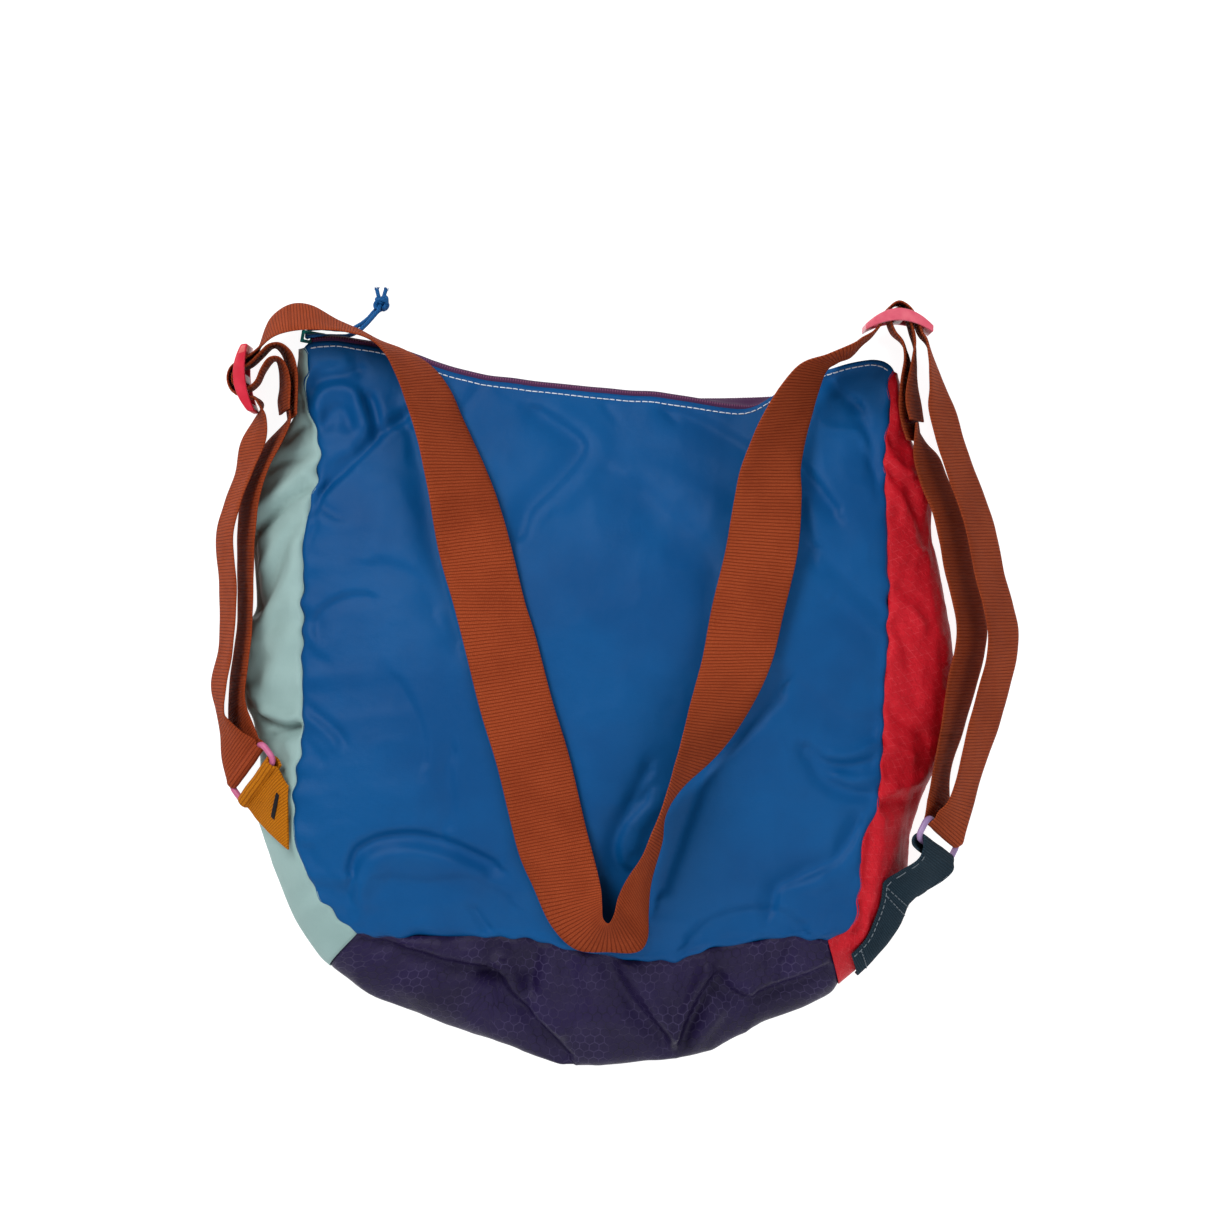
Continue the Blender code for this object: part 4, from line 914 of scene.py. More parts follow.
handle = [(-136.5, 186.5, 61.5, -136.5, 190.3, 24), (-127.7, 182.7, 64.5, -124.5, 183.8, 27.4),
          (-121.2, 175.7, 65.5, -109.4, 178.1, 29.8), (-116, 166, 64.5, -97, 169.8, 32),
          (-112, 156, 64, -88.4, 158.5, 34.6), (-107.8, 143.5, 64, -80.9, 141.9, 38),
          (-102.5, 126, 65, -73.4, 125.2, 42.5), (-97, 99.9, 65, -64.2, 102.6, 49), (-92.2, 68.2, 61, -54.5, 73, 57),
          (-85.5, 45, 60, -47.6, 44.6, 61), (-79.3, 22, 61, -42, 26, 62.5), (-70.2, -14.6, 63, -33, -8, 63.5),
          (-61, -44.7, 63, -24, -38, 63.5), (-50.8, -86.6, 57, -14.5, -79, 61),
          (-41.7, -108.1, 51.5, -8.6, -104, 65), (-32.5, -129.1, 46.5, -6.6, -116.5, 69.5),
          (-20.2, -141.7, 43, -5.8, -123.6, 73), (-3, -143.4, 42, -2.6, -126.3, 76),
          (12.6, -143.6, 43, 0.2, -121.6, 72.5), (18.5, -136.6, 44.5, 2.3, -111.9, 71),
          (18.5, -120.5, 50, 8.5, -101, 80.5), (20.2, -104.1, 53, 14.5, -92, 87), (25.5, -85, 55.5, 19.6, -80, 91),
          (27.7, -68.9, 58, 26, -64, 95), (37, -54.3, 60, 30.5, -49, 95), (57.3, -34.5, 62, 36, -30, 92),
          (73.4, -11.3, 62, 41.1, -8.7, 81.5), (84.1, 12.8, 62.5, 47, 12, 70), (89.5, 37, 61, 53, 41, 65),
          (97, 69.3, 58, 60.5, 72, 62), (98.1, 98.9, 53, 66.5, 99, 65), (98.1, 117.7, 49, 70.5, 117, 67),
          (106.2, 146.2, 40, 80, 143, 65), (113.7, 166.6, 33, 96.5, 167.9, 67), (120.2, 172.5, 29.5, 113.7, 175.2, 66.5),
          (126.5, 175.2, 27, 126.6, 180.6, 64.5)]
left_outer = [(-137.4, 186.7, 61.2, -137.4, 190.7, 23.5), (-147, 188.4, 57, -148.7, 196.2, 20),
              (-160, 189.3, 52, -163.7, 204.2, 17), (-172, 188.8, 48.5, -175, 204.6, 14),
              (-181, 186, 47, -186, 197, 11), (-187.5, 181.5, 46, -191, 184, 8.2),
              (-193.2, 177, 45, -193.2, 177, 7), (-198, 174, 45, -198, 174, 7), (-204.6, 170, 45, -204.6, 170, 7),
              (-206.6, 163.8, 45, -206.6, 163.8, 7), (-204.2, 157.2, 45, -204.2, 157.2, 7),
              (-198.4, 154.4, 45, -198.4, 154.4, 7), (-192.6, 153.6, 45, -192.6, 153.6, 7),
              (-189.6, 149.9, 45, -189.8, 149.7, 7), (-187.2, 143, 43, -193.4, 141, 5.6), (-188.5, 131, 41, -197.5, 130, 4),
              (-195, 115, 40.2, -200.5, 114, 2.6),
              (-201.5, 99, 39.7, -206.5, 97, 2), (-206.2, 79, 39.7, -211, 78, 2), (-204.4, 52, 39.7, -209, 52, 2),
              (-206.2, 20, 39.9, -209.4, 20.4, 2), (-209.8, 0, 39.8, -213.5, 0, 2), (-210, -14, 40, -213.5, -14, 2.5),
              (-206.5, -19, 40.5, -213.3, -27, 4.5), (-199.5, -25.5, 39.8, -212, -41, 8),
              (-192.1, -30.3, 37.9, -209.1, -52.3, 11.9)]
left_inner = [(-190.3, -29.5, 36.1, -207.3, -51.5, 10.1), (-193.9, -21.0, 37.6, -206.8, -36.5, 6.5),
              (-200.8, -9, 39.4, -208.6, -16, 3.2), (-203.6, 4, 40, -207.2, 3, 2), (-200.5, 30, 40, -203.6, 30, 2),
              (-199.8, 60, 40, -203.2, 60, 2),
              (-198.8, 80, 40, -203.4, 80, 2), (-196.4, 101, 40, -201.6, 99, 2.5), (-191, 117, 41, -196, 115.5, 3.5),
              (-184, 130, 43, -188.5, 129, 5.5), (-176.4, 140.5, 44.5, -178, 140, 7), (-173.2, 146.4, 45, -173.2, 146.4, 7)]
left_end = [(-169.4, 144.5), (-168.9, 155), (-169.1, 168), (-172, 177), (-178, 182.2), (-184.5, 181.6), (-190, 176.4),
            (-195.5, 171.4), (-201.4, 168.7), (-203.6, 166.4), (-204.0, 163.8), (-203.4, 161.2), (-200.8, 158.6),
            (-196.5, 158.2), (-191.6, 162.0), (-188.4, 168.6), (-184.4, 174.2), (-179.0, 174.8), (-174.9, 170.2),
            (-172.9, 162), (-172.8, 154.5), (-173.1, 147.6)]
right_outer = [(127.3, 180.9, 64.2, 127.2, 175.4, 26.7), (133, 184.8, 60, 133.4, 181.6, 22), (139, 188.4, 54, 139, 187, 16),
               (143.2, 193, 50, 143.2, 193, 12), (146.4, 199.8, 50, 146.4, 199.8, 12), (152.5, 204.3, 50, 152.5, 204.3, 12),
               (158.8, 200.8, 50, 158.8, 200.8, 12), (162.2, 194.8, 50, 162.2, 194.8, 12), (165, 188, 49.5, 165.2, 187.8, 11.6),
               (168, 181.5, 48.5, 171, 180.5, 11), (170, 160, 45, 177.1, 159, 8), (170.5, 148, 43, 179, 148, 6),
               (174.5, 131, 40.7, 184, 131.7, 4), (180, 114, 39.6, 189.5, 116, 3), (188, 92, 38.5, 198.6, 92, 2),
               (191.8, 77, 38.4, 202.5, 77.9, 2), (195.5, 59, 38.4, 206, 59, 2), (199.8, 42, 38.2, 211, 41.9, 2),
               (202.3, 28, 38.2, 213.7, 28.4, 2), (201.8, 14, 38.3, 212.8, 15, 2), (198, 0, 38, 209.6, 0, 2),
               (192, -22, 39, 203.4, -22, 3), (186, -45, 41, 197.8, -46, 5), (180, -61.5, 42, 195, -66, 7.5),
               (174.2, -68.6, 42.5, 190.6, -79.8, 11)]
right_inner = [(162.0, 139.8, 50, 162.6, 139.2, 12), (164.6, 132, 46, 168, 130.5, 8.5), (168, 121, 43, 175, 122, 6),
               (171.3, 108, 41, 180.6, 109, 4), (178, 92, 39.5, 188.2, 93.5, 3), (181.5, 77, 38.8, 191.8, 78, 2),
               (184.8, 60, 38.6, 195, 60, 2), (188.6, 45, 38.6, 198.8, 45, 2), (191, 30, 38.6, 201.3, 30, 2),
               (190, 18, 38.7, 200.2, 18, 2), (186.2, 1, 39, 196, 1, 2.5), (178.5, -27, 40.6, 188.5, -27, 4),
               (171.2, -46, 43.5, 182.4, -48, 7.5), (168.4, -61.5, 42, 182.4, -71.5, 8.5)]
right_end = [(160.2, 130.6), (157.8, 140), (156.4, 150), (156.2, 162), (157.2, 174), (155.2, 183.0), (150.4, 188.4),
             (148.0, 194.4), (148.9, 199.1), (152.6, 200.9), (156.4, 199.2), (158.4, 194.4), (160.4, 188), (161.6, 181),
             (160.9, 172), (159.6, 160), (160.0, 150), (161.6, 141.2)]



def leaned(st, first, last, hi, lo):
    """Tilt upright webbing: shift its high and low edges in plan, eased at both ends."""
    out = []
    for k, q in enumerate(st):
        if first <= k <= last:
            f = min(1.0, (k - first + 1) / 2.0, (last - k + 1) / 2.0)
            q = (q[0] + hi[0] * f, q[1] + hi[1] * f, q[2] - 1.5 * f, q[3] + lo[0] * f, q[4] + lo[1] * f, q[5] + 1.5 * f)
        out.append(tuple(q))
    return out


right_outer = leaned(right_outer, 10, 22, (-1.5, 0.0), (6.0, 0.0))
right_inner = leaned(right_inner, 1, 11, (-7.0, 0.0), (1.5, 0.0))
left_outer = leaned(left_outer, 14, 22, (2.0, 0.0), (-4.5, 0.0))
left_inner = leaned(left_inner, 2, 10, (6.5, 0.0), (-0.5, 0.0))

PER = 8
main = [tuple(x) for x in left_outer[::-1][:-1]] + handle[:-1] + [tuple(x[3:]) + tuple(x[:3]) for x in right_outer]
n_left = len(left_outer) - 1
i_cut_l = n_left - 3                  # on the hump, behind the hinge line
i_cut_r = n_left + len(handle) - 1 + 3
# webbing round the rings, added at both ends of the long run
lL, lS, lN = ring_frame(L_LONG, L_SHORT)
bar_L = L_RING + lS * 6.0
midp = lambda st: 0.5 * (np.array(st[:3]) + np.array(st[3:]))
wrapL = wrap(bar_L, lL, midp(left_outer[-1]), midp(left_inner[0]), -lS)
rL, rS, rN = ring_frame(R_LONG, R_SHORT)
bar_R = R_RING + rS * 6.0
wrapR = wrap(bar_R, rL, midp(right_outer[-1]), midp(right_inner[-1]), -rS)
runL = left_inner[:1] + wrapL[::-1] + main
extraL = len(wrapL) + 1
runR = runL + [tuple(x[3:]) + tuple(x[:3]) for x in wrapR] + [tuple(right_inner[-1][3:]) + tuple(right_inner[-1][:3])]
full = runR
cl, cr = (i_cut_l + extraL) * PER, (i_cut_r + extraL) * PER
side_l, carry, side_r = strap(["strap_side_left", "strap_carry_loop", "strap_side_right"], full, PER, cut=[cl, cr])

in_l = strap(["strap_return_left_low", "strap_return_left"], left_inner, PER, cut=[3 * PER], seed=2.0)
in_r = strap(["strap_return_right", "strap_return_right_low"], right_inner, PER, cut=[11 * PER], seed=3.0)


def lean(pts, z_hi, z_lo, shift):
    """Stations from plan points; the low edge stands off by shift(i, x, y)."""
    out = []
    for i, (x, y) in enumerate(pts):
        dx, dy = shift(i)
        out.append((x, y, z_hi, x + dx, y + dy, z_lo))
    return out


LE = {0: (-7, -2.5), 1: (-9, -2), 2: (-8, -3), 3: (-6, -3), 4: (-3, -2)}
end_l_st = lean(left_end, 45, 7, lambda i: LE.get(i, {17: (-3, -1), 18: (-6, -3), 19: (-8, -2.5), 20: (-9.3, -2), 21: (-8, -2.5)}.get(i, (0, 0))))
end_l = strap("strap_end_left", end_l_st, 8, seed=4.0)
RE = {0: 9.5, 1: 11, 2: 10.5, 3: 8, 4: 5, 5: 2, 13: 2, 14: 4.5, 15: 7.5, 16: 10, 17: 9.5}
end_r_st = [(x - 0.35 * RE.get(i, 0), y, 50 - 0.2 * RE.get(i, 0), x + 0.65 * RE.get(i, 0), y, 12) for i, (x, y) in enumerate(right_end)]
end_r = strap("strap_end_right", end_r_st, 8, seed=5.0)

for ob, nodes in ((side_l, ["left_strap_outer"]), (carry, ["handle_strap"]), (side_r, ["right_strap_outer"]),
                  (in_l[0], ["left_strap_inner"]), (in_l[1], ["left_strap_inner"]),
                  (in_r[0], ["right_strap_inner"]), (in_r[1], ["right_strap_inner"]), (end_l, ["left_strap_end"]), (end_r, ["right_strap_end"])):
    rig.replaces(ob, *nodes)
    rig.slot(ob, "orange_webbing")
straps = [side_l, carry, side_r, in_l[0], in_l[1], in_r[0], in_r[1], end_l, end_r]


def bvh_of(obs):
    verts, polys, off = [], [], 0
    for ob in obs:
        co = np.zeros(len(ob.data.vertices) * 3, np.float32)
        ob.data.vertices.foreach_get("co", co)
        verts += [tuple(c) for c in co.reshape(-1, 3)]
        polys += [tuple(i + off for i in p.vertices) for p in ob.data.polygons]
        off += len(ob.data.vertices)
    return BVHTree.FromPolygons(verts, polys)


strap_tree = bvh_of(straps)

# ------------------------------------------------------------------ fabric panels
NU, NS, NV = 168, 176, 44
MOUTH_Z, BACK_Z, BZ = 27.6, 8.0, 14.0


def smooth_curve(c, times=60):
    """Even out a curve between its fixed ends."""
    c = c.copy()
    for _ in range(times):
        c[1:-1] = 0.5 * c[1:-1] + 0.25 * (c[:-2] + c[2:])
    return c


def pucker(pts, amp, seed, freq=1.0, fade=(6, 6)):
    """Small gathers along a seam curve, in plan and in height."""
    d = np.r_[0.0, np.cumsum(np.linalg.norm(np.diff(pts, axis=0), axis=1))]
    t = unit(np.gradient(pts, axis=0))
    side = np.stack([-t[:, 1], t[:, 0], np.zeros(len(t))], axis=1)
    wv = (np.sin(d / 2.35 * freq + seed) * (0.55 + 0.45 * np.sin(d / 13.0 + 2 * seed))
          + 0.6 * np.sin(d / 5.1 * freq + 1.7 * seed) * (0.5 + 0.5 * np.sin(d / 21.0 + seed)))
    env = np.clip(d / fade[0], 0, 1) * np.clip((d[-1] - d) / fade[1], 0, 1)
    out = pts + side * (wv * env * amp)[:, None]
    out[:, 2] += 0.8 * amp * env * np.sin(d / 3.3 * freq + 2.2 * seed)
    return out


top_list = [(-166.9, 180.2), (-164.5, 183.0), (-160.5, 184.0), (-154.6, 184.3), (-148, 184.2), (-136.3, 182.6), (-125, 180.4), (-114.8, 177.4), (-105, 173.9), (-97, 170.8),
            (-84, 166.8), (-71.8, 164.0), (-55, 161.6), (-39.5, 159.6), (-22, 157.9), (-7.3, 156.4), (12, 154.8), (26.6, 153.8),
            (46.5, 150.6), (58, 148.6), (69.1, 147.6), (76, 149.2), (83.1, 153.3), (91, 158.2), (100.3, 163.0), (108, 166.4),
            (116.4, 169.2), (126, 172.2), (135.7, 174.0), (141, 174.3), (146, 173.2), (149.6, 170.6), (151.3, 167.7)]
top_edge = smooth_border([(x, y, MOUTH_Z) for x, y in top_list], NU)
bot_edge = smooth_border([(-137.9, -134.5, 34), (-128, -136.0, 35), (-119.1, -136.1, 35.6), (-98.7, -135.3, 37), (-82, -135.4, 37.4), (-65.3, -136.1, 37.8),
                          (-49.2, -136.6, 38), (-38, -138.6, 38), (-29.3, -141.4, 38), (-15.3, -144.1, 38), (4.6, -147.4, 38), (22.3, -149, 38),
                          (32, -149.2, 38), (38.4, -147.4, 38), (48.1, -143.1, 38), (70.2, -139.3, 37.6), (84, -137.0, 37.3), (96, -136.1, 37), (107, -137.4, 35.5),
                          (115.3, -138.2, 34)], NU)
left_seam = smooth_border([(-166.9, 180.2, MOUTH_Z), (-164.6, 176, 28), (-163.7, 167.7, 29), (-165.6, 164.0, 29.4), (-166.3, 158, 30), (-165.6, 150.5, 30.8), (-164.8, 147.2, 31),
                           (-161.6, 141, 31.6), (-159.9, 136, 32.2), (-158.3, 127, 33), (-158.3, 119.3, 34), (-159.9, 107.5, 35.5), (-163.7, 92.4, 37), (-165.9, 80, 38), (-166.7, 68.2, 39),
                           (-166.7, 50.5, 40), (-167.1, 15.5, 40.8), (-167.1, -26.4, 41), (-169.6, -44.7, 40.8), (-172, -62.4, 40.5), (-171.2, -80.7, 40),
                           (-166.7, -97.4, 39), (-157.8, -114, 37), (-148.7, -124.8, 35.5), (-137.9, -134.5, 34)], NS)
right_seam = smooth_border([(151.3, 167.7, MOUTH_Z), (148.6, 163.5, 28.4), (147.8, 158, 29), (149.0, 149, 30), (147.6, 137, 31.5), (146.2, 126.8, 33), (145.6, 117.7, 34), (146.4, 100, 36),
                            (147, 86, 37), (147.8, 54.2, 39), (147, 19.3, 41), (145.4, -4.4, 41), (144.7, -28, 41), (143.1, -51.7, 41), (141.7, -67.3, 40.6),
                            (135.6, -78.5, 40), (133.6, -90, 39.2), (133.1, -99, 38.4), (131.4, -122.6, 36), (129.8, -129.1, 35.2), (124, -133.6, 34.6), (115.3, -138.2, 34)], NS)
smooth_sides = [c.copy() for c in (top_edge, bot_edge, left_seam, right_seam)]
left_seam = pucker(left_seam, 0.95, 1.3)
right_seam = pucker(right_seam, 0.7, 2.1)
bot_edge = pucker(bot_edge, 0.7, 0.4)
top_edge = pucker(top_edge, 0.16, 3.0, 0.6)
front = coons(*[smooth_curve(c) for c in smooth_sides])
for side, edge_line, axis in (("u0", left_seam, 0), ("u1", right_seam, 0), ("v0", top_edge, 1), ("v1", bot_edge, 1)):
    old = {"u0": front[0], "u1": front[-1], "v0": front[:, 0], "v1": front[:, -1]}[side].copy()
    step = np.linalg.norm(np.diff(front, axis=axis, prepend=front[:1] if axis == 0 else front[:, :1]), axis=2)
    d = np.cumsum(step, axis=axis)
    if side[1] == "1":
        d = (d[-1:] if axis == 0 else d[:, -1:]) - d
    fall = np.exp(-d / 7.0)[:, :, None]
    delta = edge_line - old
    front = front + (delta[None] if axis == 0 else delta[:, None]) * fall
front[0], front[-1], front[:, 0], front[:, -1] = left_seam, right_seam, top_edge, bot_edge
uu = np.linspace(0, 1, NU + 1)[:, None]
vv = np.linspace(0, 1, NS + 1)[None, :]
front[:, :, 2] += 18.0 * np.sin(math.pi * uu) ** 0.7 * np.sin(math.pi * vv) ** 1.2


def edge_fade(g, d0=9.0, sides=(1, 1, 1, 1)):
    """0 on the borders, 1 a little way in: for left, right, top, bottom."""
    nu, nv = g.shape[:2]
    du = np.cumsum(np.linalg.norm(np.diff(g, axis=0, prepend=g[:1]), axis=2), axis=0)
    dv = np.cumsum(np.linalg.norm(np.diff(g, axis=1, prepend=g[:, :1]), axis=2), axis=1)
    f = np.ones((nu, nv))
    for k, d in enumerate((du, du[-1:] - du, dv, dv[:, -1:] - dv)):
        if sides[k]:
            q = np.clip(d / d0, 0, 1)
            f = f * q * q * (3 - 2 * q)
    return f


F = [  # line, width, height, width on the other side
    ([(-108.3, 145.1), (-115.9, 139.7), (-123.9, 134.3), (-144.3, 113.9), (-154.6, 104.2), (-162.1, 91.3)], 2.6, -2.6, 4.5),
    ([(-110.5, 150.5), (-121.2, 142.9), (-128.8, 136.5), (-140.6, 124.7)], 4.0, 1.3, 4.0),
    ([(-161.0, 142.9), (-157.8, 154.8), (-148.6, 160.2), (-139.0, 156.4), (-135.2, 148.3), (-132.5, 139.7)], 3.6, 2.0, 3.6),
    ([(-155.6, 139.7), (-150.3, 147.2), (-144.3, 146.2), (-141.7, 139.7)], 3.6, -1.4, 3.6),
    ([(-130.9, 153.7), (-127.7, 146.2), (-126.1, 136.5)], 3.4, -2.6, 3.4),
    ([(-168.5, 160.2), (-158.9, 163.4), (-147.0, 165.5), (-137.4, 168.8)], 3.4, -1.6, 3.4),
    ([(-147.0, 88.1), (-153.5, 92.4), (-161.0, 97.3)], 1.6, -1.0, 2.4),
    ([(-152.4, 106.4), (-158.9, 99.9), (-164.2, 92.4)], 1.8, -0.9, 2.6),
    ([(-159.9, 84.9), (-163.2, 77.4), (-165.3, 68.8)], 2.0, -1.2, 2.6),
    ([(-158.9, 26.8), (-158.3, 35.4), (-152.4, 41.9), (-141.7, 46.7), (-132.0, 47.3)], 2.4, -1.5, 4.0),
    ([(-165.3, 23.6), (-161.0, 17.1), (-154.6, 12.8)], 2.4, -0.9, 3.0),
    ([(-108.9, 135.4), (-101.9, 109.6), (-97.0, 82.7), (-90.0, 50.5), (-82.0, 23.6)], 4.6, -2.2, 7.0),
    ([(-39.5, 146.2), (-25.5, 136.5), (-16.9, 127.9), (-22.3, 117.1), (-32.0, 106.4), (-44.9, 93.5), (-49.2, 80.6)], 4.2, -2.2, 6.0),
    ([(-28.8, 146.2), (-12.6, 136.5), (-7.3, 124.7), (-14.8, 110.7), (-27.7, 96.7)], 8.0, 1.0, 8.0),
    ([(-70.7, 159.1), (-76.1, 152.6), (-80.4, 147.2)], 2.2, -1.0, 3.0),
    ([(-124.5, 63.4), (-112.6, 60.2), (-101.9, 52.6), (-96.5, 41.9)], 6.0, -1.4, 8.0),
    ([(-167.5, -7.6), (-158.9, -15.1), (-149.2, -22.6), (-143.8, -29.1)], 2.0, -1.3, 2.8),
    ([(-167.5, -17.3), (-159.9, -20.5), (-151.3, -28.0), (-148.1, -32.3)], 2.2, 0.9, 2.2),
    ([(-166.4, -29.1), (-159.9, -34.5), (-155.6, -40.9)], 2.2, -0.8, 2.6),
    ([(-114.8, 1.0), (-107.3, -11.9), (-101.9, -26.9), (-100.8, -40.9)], 3.6, -1.2, 5.5),
    ([(-85.7, -36.6), (-87.9, -49.5), (-85.7, -64.6), (-87.9, -76.4)], 3.4, -1.1, 5.0),
    ([(-140.6, -100.0), (-136.3, -88.2), (-122.3, -81.8), (-105.1, -80.7), (-85.7, -85.5), (-64.2, -95.7)], 3.2, -2.9, 5.4),
    ([(-136.3, -105.4), (-129.8, -93.6), (-114.8, -89.3), (-93.3, -92.5), (-72.8, -101.1)], 6.0, 1.7, 6.0),
    ([(-120.2, -104.3), (-98.6, -106.5), (-77.1, -104.3), (-57.8, -115.1)], 4.0, -1.2, 6.0),
    ([(-73.9, -120.5), (-68.5, -129.1), (-64.2, -134.5)], 2.0, -1.2, 2.6),
    ([(-162.1, -89.3), (-152.4, -103.3), (-141.7, -114.0)], 3.6, -0.8, 5.0),
    ([(27.1, 152.6), (29.3, 147.2), (33.6, 141.9)], 1.2, -1.0, 2.2),
    ([(31.4, 147.2), (48.7, 139.7), (63.7, 131.1), (74.5, 124.7)], 4.6, -2.0, 6.5),
    ([(-5.1, 153.7), (-1.9, 147.2), (2.4, 142.9)], 1.4, -0.7, 2.2),
    ([(14.2, 102.1), (29.3, 88.1), (46.5, 74.1), (55.1, 55.9)], 9.0, -1.8, 12.0),
    ([(3.5, 115.0), (19.6, 115.0), (41.1, 104.2), (62.6, 88.1)], 10.0, 1.0, 10.0),
    ([(117.5, 165.5), (120.7, 160.2), (127.1, 153.7), (131.4, 150.5)], 3.0, -1.8, 4.0),
    ([(131.4, 150.5), (135.7, 139.7), (139.0, 126.8), (144.3, 115.0)], 2.6, -1.3, 3.6),
    ([(134.7, 125.7), (140.0, 112.8), (146.5, 101.0)], 2.6, -1.2, 3.6),
    ([(98.1, 119.3), (106.7, 109.6), (118.5, 93.5)], 3.6, -2.8, 5.0),
    ([(100.3, 98.9), (102.4, 86.0), (106.7, 73.1)], 4.0, -1.6, 7.0),
    ([(111.0, 70.9), (127.1, 53.7), (147.6, 35.4)], 4.6, -1.2, 6.0),
    ([(118.5, 43.0), (132.5, 30.1), (148.6, 17.1)], 4.0, -0.9, 6.0),
    ([(82.0, 6.4), (100.3, -3.3), (119.6, -17.3), (141.1, -22.6)], 7.0, -1.8, 10.0),
    ([(103.5, -33.4), (114.2, -42.0), (127.1, -43.1), (140.0, -39.8)], 2.6, -2.0, 3.6),
    ([(104.6, -39.8), (113.2, -50.6), (126.1, -57.0), (141.1, -59.2)], 3.0, -1.8, 4.5),
    ([(116.4, -36.6), (127.1, -36.6), (139.0, -31.2)], 2.6, 1.2, 2.6),
    ([(119.6, -48.4), (131.4, -50.6), (142.2, -48.4)], 2.6, 1.3, 2.6),
    ([(19.6, -45.2), (13.2, -54.9), (9.9, -62.4)], 2.6, -1.2, 3.8),
    ([(16.4, -61.3), (5.6, -73.2), (0.8, -85.0), (2.4, -95.7), (8.9, -101.1)], 3.0, -2.2, 4.6),
    ([(25.0, -62.4), (14.2, -75.3), (9.9, -87.1)], 5.0, 0.9, 5.0),
    ([(131.4, -75.3), (125.0, -87.1), (114.2, -96.8), (100.3, -103.3), (88.4, -108.6), (85.2, -119.4)], 3.2, -2.2, 5.0),
    ([(139.0, -83.9), (127.1, -99.0), (108.9, -108.6)], 5.0, 1.0, 5.0),
    ([(41.1, -136.6), (53.0, -126.9), (71.2, -121.6), (89.5, -122.6), (100.3, -130.2)], 4.0, -1.9, 6.0),
    ([(87.4, -5.4), (69.1, -24.8), (49.7, -45.2), (41.1, -65.6), (32.5, -89.3), (26.1, -108.6)], 5.5, -2.2, 8.0),
    ([(14.2, -126.9), (27.1, -128.0), (41.1, -130.2)], 5.0, 0.8, 5.0),
    ([(-168.5, 174.1), (-162.1, 167.7), (-152.4, 170.9)], 2.4, -1.0, 3.0),
]
xy = (front[:, :, 0], front[:, :, 1])
D = np.zeros(front.shape[:2])
for pts, w, amp, back in F:
    D += stroke(xy, line(pts), w * 0.74, amp * 1.5, (back or w) * 1.35)
for c, rx, ry, a, amp in (((-138.4, 173.1), 4.0, 7.0, 15, -2.2), ((-115.9, 150.5), 6.0, 7.0, 0, -1.6), ((-149.7, 152.6), 4, 4, 0, 0.6), ((-12.6, 34.4), 26, 30, 0, 0.7),
                          ((-125.5, -51.7), 20, 26, 10, 1.0), ((-28.8, 66.6), 22, 30, 0, 0.8), ((62.6, -94.7), 30, 20, 20, 1.1), ((127.1, -3.3), 10, 12, 0, -0.8),
                          ((-152.4, 66.6), 12, 20, 0, 0.8), ((135.7, 77.4), 10, 16, 0, 0.8)):
    D += dent(xy, c, rx, ry, a, amp * 1.2)
x, y = xy
D += 1.3 * noise2(x, y, 52, 3) + 0.55 * noise2(x, y, 27, 7)
cornerness = np.exp(-np.minimum.reduce([np.hypot(x + 150, y - 150), np.hypot(x - 135, y - 140) * 1.1, np.hypot(x + 140, y + 110) * 1.1, np.hypot(x - 115, y + 110)]) / 55.0)
D += (1.5 * cornerness + 0.20) * (ridged(x, y, 24, 2.0) - 0.62) * 2.0 + (0.7 * cornerness + 0.1) * (ridged(x, y, 10, 12.0) - 0.6)
# gathers running in from the side seams and the bottom seam
side_d = np.cumsum(np.linalg.norm(np.diff(front, axis=0, prepend=front[:1]), axis=2), axis=0)
near_l, near_r = np.exp(-side_d / 9.0), np.exp(-(side_d[-1:] - side_d) / 8.0)
down_d = np.cumsum(np.linalg.norm(np.diff(front, axis=1, prepend=front[:, :1]), axis=2), axis=1)
near_b = np.exp(-(down_d[:, -1:] - down_d) / 7.0)
near_t = np.exp(-down_d / 6.0)
D += near_l * (1.1 * np.sin(y / 3.4 + 1.1 * np.sin(y / 17)) * (0.45 + 0.55 * np.sin(y / 23 + 0.8)) + 0.5 * np.sin(y / 1.9))
D += near_r * (0.9 * np.sin(y / 3.9 + 1.3 * np.sin(y / 19)) * (0.45 + 0.55 * np.sin(y / 27 + 2.0)))
D += near_b * (0.9 * np.sin(x / 4.2 + 1.4 * np.sin(x / 23)) * (0.5 + 0.5 * np.sin(x / 31)))
D += near_t * 0.30 * np.sin(x / 2.2) * (0.6 + 0.4 * np.sin(x / 17))
front[:, :, 2] += D * edge_fade(front, 7.0) + 0.0


def press_under(g, tree, gap):
    """Lower the points that lie under the straps, as the cloth gives way to them."""
    low = np.full(g.shape[:2], 1e9)
    for i in range(g.shape[0]):
        for j in range(g.shape[1]):
            p = m3(g[i, j])
            hit = tree.ray_cast(Vector((p[0], p[1], 0.012)), Vector((0, 0, 1)))
            if hit[0] is not None:
                low[i, j] = hit[0].z * 1000 - gap
    push = np.maximum(g[:, :, 2] - low, 0.0)
    push = np.minimum(push, 9.0)
    soft = push.copy()
    for _ in range(5):
        s = soft.copy()
        s[1:-1, 1:-1] = 0.25 * (soft[:-2, 1:-1] + soft[2:, 1:-1] + soft[1:-1, :-2] + soft[1:-1, 2:])
        soft = np.maximum(s, push)
    g[:, :, 2] -= soft
    return float(push.max())


pushed = press_under(front, strap_tree, 0.9)
print("front pressed by", round(pushed, 2), "mm")


